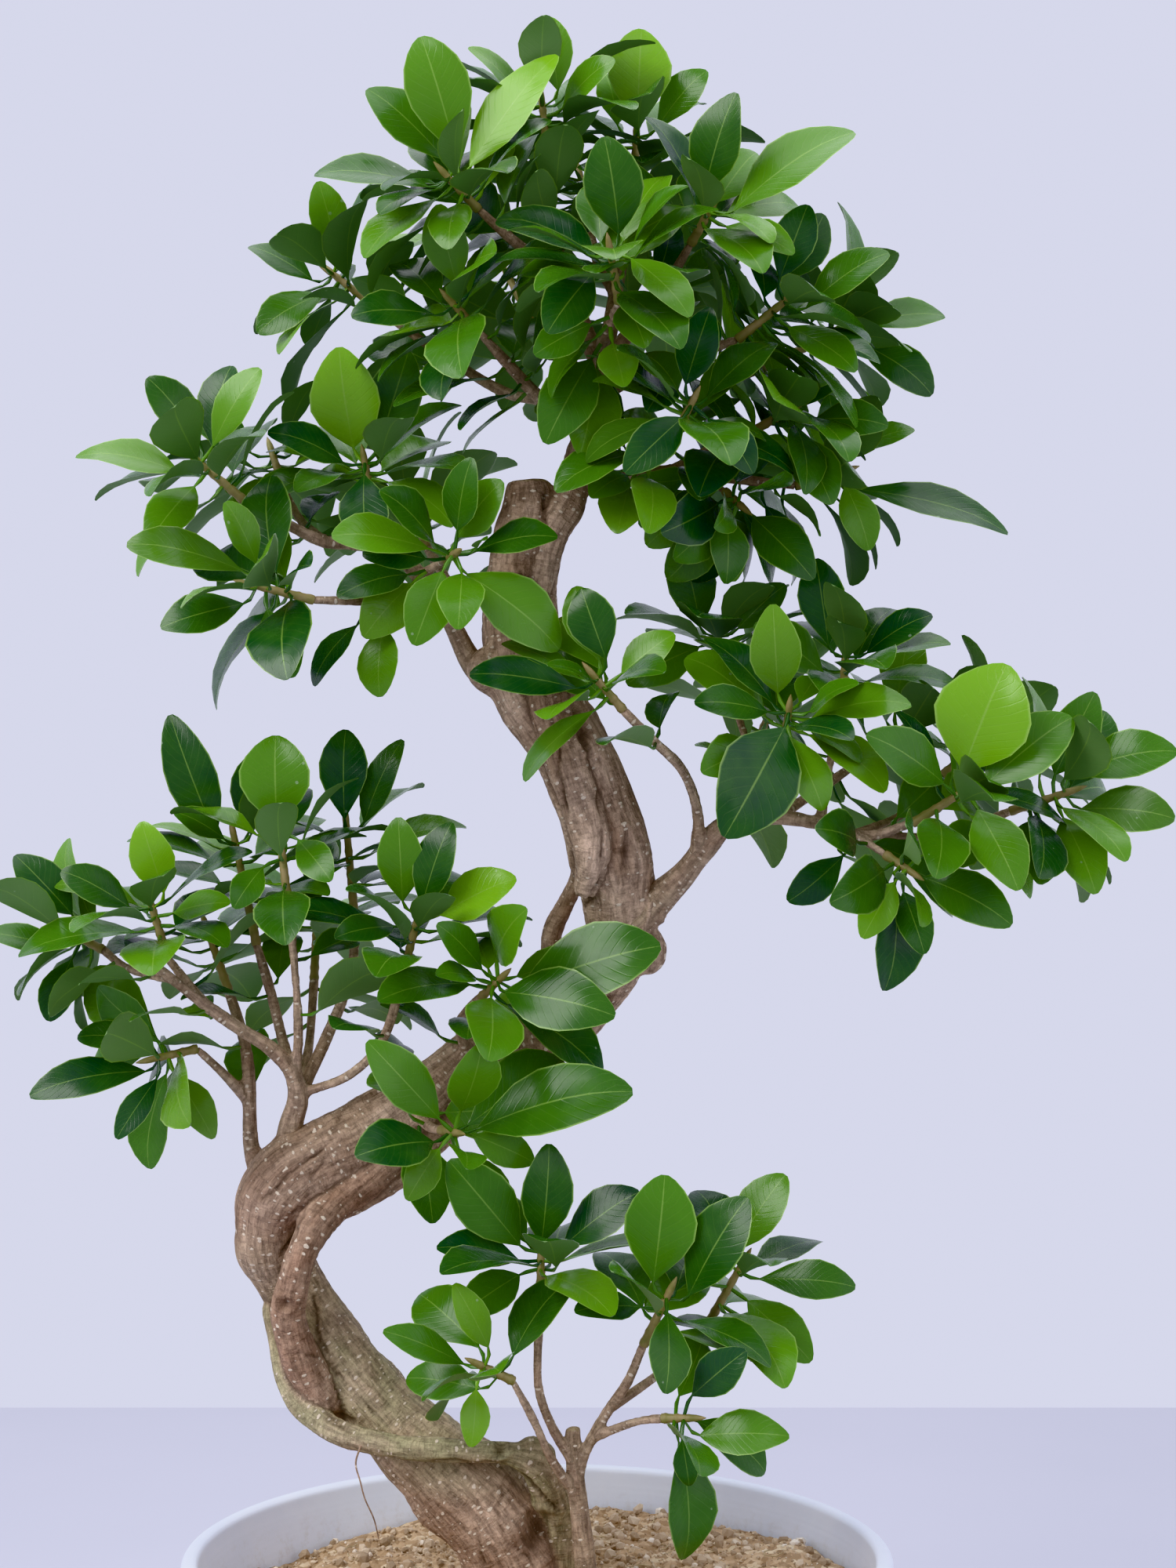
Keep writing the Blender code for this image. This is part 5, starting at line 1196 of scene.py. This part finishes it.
def blade(leaf, t, swell=0.0):
    """Rings of four points across a leaf at the stations t: edge, top, edge, underside."""
    bend = leaf["bend"]
    t = np.asarray(t, dtype=float)[:, None]
    ahead = leaf["ahead"] * np.cos(bend * t) - leaf["face"] * np.sin(bend * t)
    face = leaf["face"] * np.cos(bend * t) + leaf["ahead"] * np.sin(bend * t)
    mid = (leaf["start"] + leaf["length"] / bend
           * (leaf["ahead"] * np.sin(bend * t) - leaf["face"] * (1 - np.cos(bend * t))))
    side = np.cross(face, ahead)
    half = 0.5 * leaf["width"] * np.sin(math.pi * np.clip(t, 0, 1) ** 0.88) ** 0.75 + 0.0007 + swell
    thick = 0.5 * LEAF_THICK * (1.25 - 0.6 * t) + swell
    lift = half * math.sin(leaf["fold"])
    reach = half * math.cos(leaf["fold"])
    return np.stack([mid + side * reach + face * lift, mid + face * thick,
                     mid - side * reach + face * lift, mid - face * thick], axis=1)


def test_hull(leaf):
    """Swollen copies of a leaf and its stalk, fine and as lofted, for the clearance test."""
    verts = []
    faces = []
    for stations in ([0.0, 0.16, 0.34, 0.52, 0.70, 0.86, 1.0], [0.0, 0.36, 0.72, 1.0]):
        rings = blade(leaf, stations, 0.0006)
        stalk = rings[0] - 0.65 * (leaf["start"] - leaf["root"])
        rings = np.vstack([stalk[None], rings])
        first = len(verts)
        verts.extend(rings.reshape(-1, 3))
        faces += [(first + i * 4 + j, first + i * 4 + (j + 1) % 4,
                   first + (i + 1) * 4 + (j + 1) % 4, first + (i + 1) * 4 + j)
                  for i in range(len(rings) - 1) for j in range(4)]
    return np.array(verts), faces


class Obstacles:
    """Everything already grown, for asking whether a new leaf has room."""

    def __init__(self):
        self.trees = []
        self.low = np.zeros((0, 3))
        self.high = np.zeros((0, 3))

    def add(self, verts, faces):
        """Remember one closed shape."""
        self.trees.append(BVHTree.FromPolygons([Vector(v) for v in verts], faces))
        self.low = np.vstack([self.low, verts.min(axis=0)])
        self.high = np.vstack([self.high, verts.max(axis=0)])

    def free(self, verts, faces):
        """True where the shape touches nothing remembered."""
        near = np.all((self.low <= verts.max(axis=0)) & (self.high >= verts.min(axis=0)), axis=1)
        if not near.any():
            return True
        shape = BVHTree.FromPolygons([Vector(v) for v in verts], faces)
        return not any(self.trees[i].overlap(shape) for i in np.flatnonzero(near))


def make_leaf(root, out, tip, width, hint, bend, fold, stalk):
    """Leaf from its root on the twig to its tip, bent down along the blade."""
    start = root + stalk * unit(out + unit(tip - root))
    chord = tip - start
    reach = np.linalg.norm(chord)
    along = chord / reach
    face = unit(hint - along * np.dot(hint, along))
    length = reach * (bend / 2) / math.sin(bend / 2)
    return {"root": root, "start": start, "length": length, "width": width * length,
            "ahead": along * math.cos(bend / 2) + face * math.sin(bend / 2),
            "face": face * math.cos(bend / 2) - along * math.sin(bend / 2),
            "bend": bend, "fold": fold}


def tip_leaves(shoot, twig, obstacles, rng):
    """Single leaves placed by their tips, each on the socket that looks its way."""
    sockets = twig["sockets"]
    taken = twig["taken"]
    for x, y, z, width, lean in shoot[5]:
        tip = tree_point((x, y, z))
        order = sorted((i for i in range(len(sockets)) if i not in taken),
                       key=lambda i: -np.dot(sockets[i][1], unit(tip - sockets[i][0]))
                       - 0.4 * sockets[i][2])
        lean = math.radians(lean)
        for trial in range(24):
            root, out, _ = sockets[order[trial % 3]]
            drift = rng.normal(0.0, 0.0008 * trial, 3) * [1.0, 2.5, 1.0]
            aim = root + (tip + drift - root) * LEAF_LENGTH * (1 - 0.010 * trial)
            hint = np.array([0.15 * rng.normal(), -math.sin(lean), math.cos(lean)])
            leaf = make_leaf(root, out, aim, width, hint, 0.35 + 0.25 * rng.random(),
                             0.22, PETIOLE)
            hull = test_hull(leaf)
            if obstacles.free(*hull):
                obstacles.add(*hull)
                twig["leaves"].append((order[trial % 3], leaf))
                taken.add(order[trial % 3])
                break


def spiral_leaves(shoot, twig, obstacles, rng):
    """The remaining leaves, turned by the golden angle up the twig."""
    sockets = twig["sockets"]
    taken = twig["taken"]
    axis = twig["axis"]
    first = rng.random() * 2 * math.pi
    side = unit(np.cross(axis, [0.2, 0.9, 0.35]))
    up = np.cross(axis, side)
    for number in range(shoot[3]):
        rise = number / max(1, shoot[3] - 1)
        for trial in range(26):
            turn = first + 2.39996 * number + rng.normal(0.0, 0.04 * trial)
            spread = math.radians(86 - 34 * rise + rng.normal(0.0, 3.0 + trial))
            around = side * math.cos(turn) + up * math.sin(turn)
            way = unit(axis * math.cos(spread) + around * math.sin(spread)
                       - np.array([0.0, 0.0, 0.16]))
            free_sockets = [i for i in range(len(sockets)) if i not in taken]
            best = max(free_sockets, key=lambda i: np.dot(sockets[i][1], way)
                       - 0.9 * abs(sockets[i][2] - 0.25 - 0.75 * rise))
            root, out, _ = sockets[best]
            size = shoot[4] * (1.12 - 0.22 * rise) * (1 - 0.018 * trial)
            reach = size * TREE_SCALE * LEAF_LENGTH * (0.9 + 0.2 * rng.random()) + PETIOLE
            hint = unit(axis + np.array([0.0, -0.35, 0.75]) + 0.15 * rng.normal(size=3))
            width = LEAF_WIDTH * (0.92 + 0.16 * rng.random())
            leaf = make_leaf(root, out, root + reach * way, width, hint,
                             0.35 + 0.35 * rng.random(), 0.18 + 0.12 * rng.random(), PETIOLE)
            hull = test_hull(leaf)
            if obstacles.free(*hull):
                obstacles.add(*hull)
                twig["leaves"].append((best, leaf))
                taken.add(best)
                break


def grow_twig(shoot):
    """Twig rings, the sockets on its sides where leaves may root, and its bud tip."""
    start = tree_point(shoot[1])
    tip = tree_point(shoot[2])
    axis = unit(tip - start)
    start = start + axis * GAP
    total = shoot[3] + len(shoot[5])
    spans = math.ceil(total / TWIG_SIDES * 1.35) + 1
    at = np.r_[0.0, np.linspace(0.30, 1.0, spans)]
    radius = TREE_SCALE * (2.1 - 0.5 * at)
    side = unit(np.cross(axis, [0.31, 0.90, 0.23]))
    up = np.cross(axis, side)
    turn = np.linspace(0.0, 2 * math.pi, TWIG_SIDES, endpoint=False)
    around = np.cos(turn)[:, None] * side + np.sin(turn)[:, None] * up
    rings = start + at[:, None, None] * (tip - start) + radius[:, None, None] * around[None]
    sockets = []
    for i in range(1, spans):
        for j in range(TWIG_SIDES):
            k = (j + 1) % TWIG_SIDES
            corners = np.array([rings[i, j], rings[i, k], rings[i + 1, k], rings[i + 1, j]])
            sockets.append((corners.mean(axis=0), unit(around[j] + around[k]), at[i]))
    return {"rings": rings, "sockets": sockets, "axis": axis, "bud": tip + axis * 0.007,
            "taken": set(), "leaves": []}


def twig_sides(rings):
    """Side quads of a twig, ring by ring."""
    return [(i * TWIG_SIDES + j, i * TWIG_SIDES + (j + 1) % TWIG_SIDES,
             (i + 1) * TWIG_SIDES + (j + 1) % TWIG_SIDES, (i + 1) * TWIG_SIDES + j)
            for i in range(len(rings) - 1) for j in range(TWIG_SIDES)]


def bud_sides(rings):
    """Faces of the pointed bud on the last ring; its tip is the vertex after the rings."""
    last = (len(rings) - 1) * TWIG_SIDES
    return [(last + j, last + (j + 1) % TWIG_SIDES, last + TWIG_SIDES)
            for j in range(TWIG_SIDES)]


def grow_tree():
    """Runs the layout: twigs first, then the placed leaves, then the spirals between."""
    for path, sides, step, flutes in (
            [(TRUNK, TRUNK_SIDES, 0.0125, 0.045)]
            + [(path, STRAND_SIDES, 0.012, 0.0) for path in STRANDS.values()]):
        obstacles.add(*tube(path, sides, step, flutes=flutes))
    for paths in LIMBS.values():
        obstacles.add(*tube(paths[0], STRAND_SIDES, 0.014))
        for path in paths[1:]:
            obstacles.add(*tube(path, BRANCH_SIDES, 0.018))
    chance = np.random.default_rng(11)
    twigs.extend(grow_twig(shoot) for shoot in SHOOTS)
    for twig in twigs:
        outline = np.vstack([twig["rings"].reshape(-1, 3), twig["bud"]])
        obstacles.add(outline, twig_sides(twig["rings"]) + bud_sides(twig["rings"]))
    for shoot, twig in zip(SHOOTS, twigs):
        tip_leaves(shoot, twig, obstacles, chance)
    for shoot, twig in zip(SHOOTS, twigs):
        spiral_leaves(shoot, twig, obstacles, chance)


obstacles = Obstacles()
twigs = []


def inner_leaves(shoot, twig, wanted, rng):
    """Leaves of earlier flushes, rooted along the twig and the last 40 mm of its branch.

    Each is turned, tilted and shortened at random until it clears all that has grown.
    """
    rings = twig["rings"]
    spine = [(rings[0].mean(axis=0) * (1 - s) + rings[-1].mean(axis=0) * s, twig["axis"],
              0.0018) for s in (0.15, 0.3, 0.45, 0.6, 0.75, 0.9)]
    for path in (path for paths in LIMBS.values() for path in paths):
        if path[-1][:3] == shoot[1]:
            wood = spline(path, 0.005)[-9:-1]
            spine += [(ring[:3], unit(wood[-1, :3] - wood[0, :3]), ring[3]) for ring in wood]
    grown = 0
    for trial in range(wanted * 22):
        centre, axis, thick = spine[rng.integers(len(spine))]
        side = unit(np.cross(axis, [0.2, 0.9, 0.35]))
        turn = rng.random() * 2 * math.pi
        around = side * math.cos(turn) + np.cross(axis, side) * math.sin(turn)
        spread = math.radians(rng.uniform(42, 98))
        way = unit(axis * math.cos(spread) + around * math.sin(spread)
                   + np.array([0.0, 0.0, rng.uniform(-0.25, 0.25)]))
        root = centre + thick * around
        reach = shoot[4] * TREE_SCALE * rng.uniform(0.62, 1.02) + PETIOLE
        hint = unit(axis + np.array([0.0, -0.35, 0.75]) + 0.35 * rng.normal(size=3))
        leaf = make_leaf(root, around, root + reach * way, LEAF_WIDTH * rng.uniform(0.92, 1.1),
                         hint, rng.uniform(0.3, 0.75), rng.uniform(0.15, 0.32), PETIOLE)
        hull = test_hull(leaf)
        if leaf["start"][2] > 0.2 and obstacles.free(*hull):
            obstacles.add(*hull)
            twig["leaves"].append((-1, leaf))
            grown += 1
            if grown == wanted:
                break


def leaf_grid(leaves, rng):
    """All leaves of a shoot at once, as (leaf, ring, six points round).

    The midrib is an arc whose last third curls down. The half width is
    W/2 sin(pi t^a)^(0.95 - 0.3 t): a wedge at the stalk, blunt at the tip, widest past the
    middle by as much as a is over 1. The two halves rise from the midrib by the fold, arch
    a little, and the whole blade twists slightly; the stalk's rings are circles.
    """
    def stack(key):
        return np.array([leaf[key] for leaf in leaves])

    n = len(leaves)
    bend, length, width, fold = (stack(key)[:, None, None] for key in
                                 ("bend", "length", "width", "fold"))
    ahead0, face0 = stack("ahead")[:, None], stack("face")[:, None]
    root, start = stack("root")[:, None], stack("start")[:, None]
    t = BLADE[None, :, None]
    ahead = ahead0 * np.cos(bend * t) - face0 * np.sin(bend * t)
    face = face0 * np.cos(bend * t) + ahead0 * np.sin(bend * t)
    side = np.cross(face, ahead)
    twist = rng.uniform(-0.35, 0.35, (n, 1, 1)) * t
    side, face = (side * np.cos(twist) + face * np.sin(twist),
                  face * np.cos(twist) - side * np.sin(twist))
    mid = start + length / bend * (ahead0 * np.sin(bend * t) - face0 * (1 - np.cos(bend * t)))
    mid = mid - face0 * length * TIP_CURL * np.clip((t - 0.65) / 0.35, 0, 1) ** 2
    skew = rng.uniform(0.98, 1.28, (n, 1, 1))
    half = 0.53 * width * np.sin(math.pi * t ** skew) ** (0.95 - 0.30 * t) + 0.0005
    x = ACROSS[None, None, :]
    phase = rng.random((n, 1, 1)) * 6.3
    wave = 0.07 * np.sin(2.2 * math.pi * t + phase) * x
    lift = half * (1.25 * np.sin(fold) * np.abs(x) + wave - 0.13 * x ** 2)
    thick = 0.00028 * FACE * (1 - 0.3 * t) * (1 + 0.4 * (np.abs(x) < 0.1))
    rib = -0.00022 * (np.abs(x) < 0.1) * (1 - t)
    blade_points = (mid[:, :, None] + side[:, :, None] * (x * half)[..., None]
                    + face[:, :, None] * (lift + thick + rib)[..., None])
    s = STALK[None, :, None]
    knee = start - ahead0 * np.linalg.norm(start - root, axis=2, keepdims=True) * 0.45
    root = root - 0.0006 * (start - root) / np.linalg.norm(start - root, axis=2, keepdims=True)
    line = root * (1 - s) ** 2 + 2 * knee * s * (1 - s) + start * s ** 2
    thin = 0.00105 - 0.00030 * np.abs(s - 0.45)
    stalk_points = (line[:, :, None] + thin[..., None]
                    * (np.cos(ROUND)[None, None, :, None] * side[:, :1, None]
                       + np.sin(ROUND)[None, None, :, None] * face[:, :1, None]))
    return np.concatenate([stalk_points, blade_points], axis=1)


def leafy_shoot(name, twig, rng):
    """One mesh: a tapering twig with a swelling at every leaf, its bud, and the leaves."""
    rings = twig["rings"]
    base, tip = rings[0].mean(axis=0), rings[-1].mean(axis=0)
    axis = twig["axis"]
    side = unit(rings[0][0] - base)
    up = np.cross(axis, side)
    length = np.linalg.norm(tip - base)
    s = np.linspace(-0.0008, length, 26)[:, None]
    turn = np.linspace(0, 2 * math.pi, TWIG_ROUND, endpoint=False)
    swell = 1 + 0.16 * np.exp(-((s % 0.0052) / 0.0009 - 1) ** 2)
    radius = 0.001 * (2.1 - 0.55 * s / length) * swell
    bud = np.array([[0.0012, 0.0016], [0.0032, 0.00145], [0.0058, 0.0009], [0.0078, 0.0002]])
    s = np.vstack([s, length + bud[:, :1]])
    radius = np.vstack([radius, bud[:, 1:]])
    twig_points = (base + s[:, None] * axis + radius[:, None]
                   * (np.cos(turn)[None, :, None] * side + np.sin(turn)[None, :, None] * up))
    rows = len(s)
    faces = ring_quads(rows, TWIG_ROUND).tolist()
    faces += [list(range(TWIG_ROUND))[::-1],
              list(range((rows - 1) * TWIG_ROUND, rows * TWIG_ROUND))]
    leaves = [leaf for _, leaf in twig["leaves"]]
    grid = leaf_grid(leaves, rng)
    n, stations = grid.shape[:2]
    one = ring_quads(stations, 6)
    stem_count = rows * TWIG_ROUND
    first = stem_count + np.arange(n) * stations * 6
    faces += (one[None] + first[:, None, None]).reshape(-1, 4).tolist()
    last = (stations - 1) * 6
    faces += (np.arange(6)[::-1][None] + first[:, None]).tolist()
    faces += (np.arange(last, last + 6)[None] + first[:, None]).tolist()
    piece = mesh_piece(name, np.vstack([twig_points.reshape(-1, 3), grid.reshape(-1, 3)]), faces)
    piece.data.set_sharp_from_angle(angle=math.radians(60))
    shape = (n, stations, 6)
    along = np.broadcast_to(np.r_[STALK - 1, BLADE][None, :, None], shape)
    tips = grid[:, -1].mean(axis=1)
    near = np.array([min(np.linalg.norm(tip - tree_point(mark)) for mark in BACKLIT_TIPS)
                     for tip in tips])
    # Leaves at the listed tips get the brighter green in full, as painted backlight; about one in ten
    # others gets some of it at random, as young leaves.
    young_and_backlit = np.clip((near < 0.014) + rng.uniform(0.2, 0.7, n) * (rng.random(n) < 0.10), 0, 1)
    for key, values, stem in (
            ("along", along, -1.0),
            ("across", np.broadcast_to(ACROSS, shape), 0.0),
            ("under", np.broadcast_to(np.clip(-FACE, 0, 1), shape), 0.0),
            ("tone", np.broadcast_to(rng.random(n)[:, None, None], shape), 0.5),
            ("young_and_backlit", np.broadcast_to(young_and_backlit[:, None, None], shape), 0.0)):
        point_attribute(piece, key, np.r_[np.full(stem_count, stem), np.ravel(values)])
    stem = np.zeros(len(piece.data.polygons), dtype=np.int32)
    stem[(rows - 1) * TWIG_ROUND + 2:] = 1
    piece.data.materials.append(green_twig)
    piece.data.materials.append(fig_leaf)
    piece.data.polygons.foreach_set("material_index", stem)
    piece.data.update()
    return piece


# Soft green bark of a new twig, mottled from olive to tan.
green_twig, shader = new_material("green_twig_skin")
place = add(green_twig, "ShaderNodeTexCoord")
mottle = add(green_twig, "ShaderNodeTexNoise", [("Vector", place.outputs["Object"])],
             Scale=1 / 0.005, Detail=5.0)
skin = add(green_twig, "ShaderNodeValToRGB", [("Fac", mottle.outputs["Fac"])])
skin.color_ramp.elements[0].position = 0.35
skin.color_ramp.elements[0].color = linear("#7d7a45")
skin.color_ramp.elements[1].position = 0.65
skin.color_ramp.elements[1].color = linear("#9b8a60")
green_twig.node_tree.links.new(skin.outputs["Color"], shader.inputs["Base Color"])
relief = add(green_twig, "ShaderNodeBump", [("Height", mottle.outputs["Fac"])],
             Strength=0.3, Distance=0.0004)
green_twig.node_tree.links.new(relief.outputs[0], shader.inputs["Normal"])
shader.inputs["Roughness"].default_value = 0.55

# Leathery fig leaf: waxy cuticle with a clear gloss (IOR 1.45) over deep green, pale
# midrib and margin, and side veins 3 mm apart that only just dent the surface.
fig_leaf, shader = new_material("waxy_fig_leaf")
place = add(fig_leaf, "ShaderNodeTexCoord")
tone = add(fig_leaf, "ShaderNodeAttribute", attribute_name="tone")
green = add(fig_leaf, "ShaderNodeValToRGB", [("Fac", tone.outputs["Fac"])])
for at, colour in ((0.0, "#1f4026"), (0.3, "#264e15"), (0.7, "#3d6b17"), (1.0, "#5c8a24")):
    stop = green.color_ramp.elements.new(at) if at not in (0.0, 1.0) else \
        green.color_ramp.elements[-1 if at else 0]
    stop.color = linear(colour)
cloud = add(fig_leaf, "ShaderNodeTexNoise", [("Vector", place.outputs["Object"])],
            Scale=1 / 0.018, Detail=4.0)
warm = add(fig_leaf, "ShaderNodeMapRange", [("Value", cloud.outputs["Fac"])],
           From_Min=0.35, From_Max=0.7, To_Min=0.0, To_Max=0.22)
patchy = add(fig_leaf, "ShaderNodeMix", [("Factor", warm.outputs[0]),
                                         (6, green.outputs["Color"])], data_type="RGBA")
patchy.inputs[7].default_value = linear("#58892a")
# The brighter green #71a02a is painted backlight on the listed leaves and the tint of young leaves on
# a random few.
young_and_backlit = add(fig_leaf, "ShaderNodeAttribute", attribute_name="young_and_backlit")
fresh_and_backlit = add(fig_leaf, "ShaderNodeMix", [("Factor", young_and_backlit.outputs["Fac"]),
                                        (6, patchy.outputs[2])], data_type="RGBA")
fresh_and_backlit.inputs[7].default_value = linear("#71a02a")
under = add(fig_leaf, "ShaderNodeAttribute", attribute_name="under")
below = add(fig_leaf, "ShaderNodeMapRange", [("Value", under.outputs["Fac"])],
            From_Min=0.02, From_Max=0.08)
dull = add(fig_leaf, "ShaderNodeMix", [("Factor", below.outputs[0]), (6, fresh_and_backlit.outputs[2])],
           data_type="RGBA")
dull.inputs[7].default_value = linear("#6d8c55")
across = add(fig_leaf, "ShaderNodeAttribute", attribute_name="across")
along = add(fig_leaf, "ShaderNodeAttribute", attribute_name="along")
away = add(fig_leaf, "ShaderNodeMath", [(0, across.outputs["Fac"])], operation="ABSOLUTE")
slope = add(fig_leaf, "ShaderNodeMath", [(0, away.outputs[0])], operation="MULTIPLY")
slope.inputs[1].default_value = -0.24
vein_at = add(fig_leaf, "ShaderNodeMath", [(0, along.outputs["Fac"]), (1, slope.outputs[0])],
              operation="ADD")
repeat = add(fig_leaf, "ShaderNodeMath", [(0, vein_at.outputs[0])], operation="MULTIPLY")
repeat.inputs[1].default_value = 12.0
zigzag = add(fig_leaf, "ShaderNodeMath", [(0, repeat.outputs[0])], operation="PINGPONG")
zigzag.inputs[1].default_value = 0.5
vein = add(fig_leaf, "ShaderNodeMapRange", [("Value", zigzag.outputs[0])],
           From_Min=0.0, From_Max=0.10, To_Min=1.0, To_Max=0.0)
faint = add(fig_leaf, "ShaderNodeMath", [(0, vein.outputs[0])], operation="MULTIPLY")
faint.inputs[1].default_value = 0.05
veined = add(fig_leaf, "ShaderNodeMix", [("Factor", faint.outputs[0]), (6, dull.outputs[2])],
             data_type="RGBA")
veined.inputs[7].default_value = linear("#8fae5e")
midrib = add(fig_leaf, "ShaderNodeMapRange", [("Value", away.outputs[0])],
             From_Min=0.010, From_Max=0.036, To_Min=0.42, To_Max=0.0)
ribbed = add(fig_leaf, "ShaderNodeMix", [("Factor", midrib.outputs[0]), (6, veined.outputs[2])],
             data_type="RGBA")
ribbed.inputs[7].default_value = linear("#93b45c")
margin = add(fig_leaf, "ShaderNodeMapRange", [("Value", away.outputs[0])],
             From_Min=0.93, From_Max=0.985, To_Min=0.0, To_Max=0.6)
edged = add(fig_leaf, "ShaderNodeMix", [("Factor", margin.outputs[0]), (6, ribbed.outputs[2])],
            data_type="RGBA")
edged.inputs[7].default_value = linear("#98b764")
# Hard water leaves a few chalky spots, 1 to 2 mm across.
spots = add(fig_leaf, "ShaderNodeTexVoronoi", [("Vector", place.outputs["Object"])],
            Scale=1 / 0.0075)
chance_of = add(fig_leaf, "ShaderNodeSeparateColor", [("Color", spots.outputs["Color"])])
size_of = add(fig_leaf, "ShaderNodeMapRange", [("Value", chance_of.outputs[1])],
              From_Min=0.80, From_Max=1.0, To_Min=0.0, To_Max=0.13)
in_spot = add(fig_leaf, "ShaderNodeMath", [(0, size_of.outputs[0]), (1, spots.outputs["Distance"])],
              operation="SUBTRACT")
chalk = add(fig_leaf, "ShaderNodeMapRange", [("Value", in_spot.outputs[0])],
            From_Min=0.0, From_Max=0.03, To_Min=0.0, To_Max=0.3)
chalky = add(fig_leaf, "ShaderNodeMix", [("Factor", chalk.outputs[0]), (6, edged.outputs[2])],
             data_type="RGBA")
chalky.inputs[7].default_value = linear("#b9c9ae")
fig_leaf.node_tree.links.new(chalky.outputs[2], shader.inputs["Base Color"])
wax = add(fig_leaf, "ShaderNodeTexNoise", [("Vector", place.outputs["Object"])],
          Scale=1 / 0.012, Detail=6.0, Roughness=0.7)
sheen = add(fig_leaf, "ShaderNodeMapRange", [("Value", wax.outputs["Fac"])],
            From_Min=0.3, From_Max=0.7, To_Min=0.18, To_Max=0.32)
gloss = add(fig_leaf, "ShaderNodeMix", [("Factor", below.outputs[0])], data_type="FLOAT")
fig_leaf.node_tree.links.new(sheen.outputs[0], gloss.inputs[2])
gloss.inputs[3].default_value = 0.62
fig_leaf.node_tree.links.new(gloss.outputs[0], shader.inputs["Roughness"])
height = add(fig_leaf, "ShaderNodeMath", [(0, vein.outputs[0]), (1, wax.outputs["Fac"])],
             operation="SUBTRACT")
relief = add(fig_leaf, "ShaderNodeBump", [("Height", height.outputs[0])],
             Strength=0.12, Distance=0.0004, invert=True)
fig_leaf.node_tree.links.new(relief.outputs[0], shader.inputs["Normal"])
shader.inputs["IOR"].default_value = 1.45
shader.inputs["Subsurface Weight"].default_value = 0.10
shader.inputs["Subsurface Radius"].default_value = (0.0006, 0.0014, 0.0003)

grow_tree()
chance = np.random.default_rng(29)
for shoot, twig in zip(SHOOTS, twigs):
    inner_leaves(shoot, twig, EXTRA[shoot[0].split("_")[0]], chance)
for number, (shoot, twig) in enumerate(zip(SHOOTS, twigs)):
    leafy = leafy_shoot(shoot[0] + "_leaves", twig, np.random.default_rng(500 + number))
    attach(leafy, "root")
    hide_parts(shoot[0])
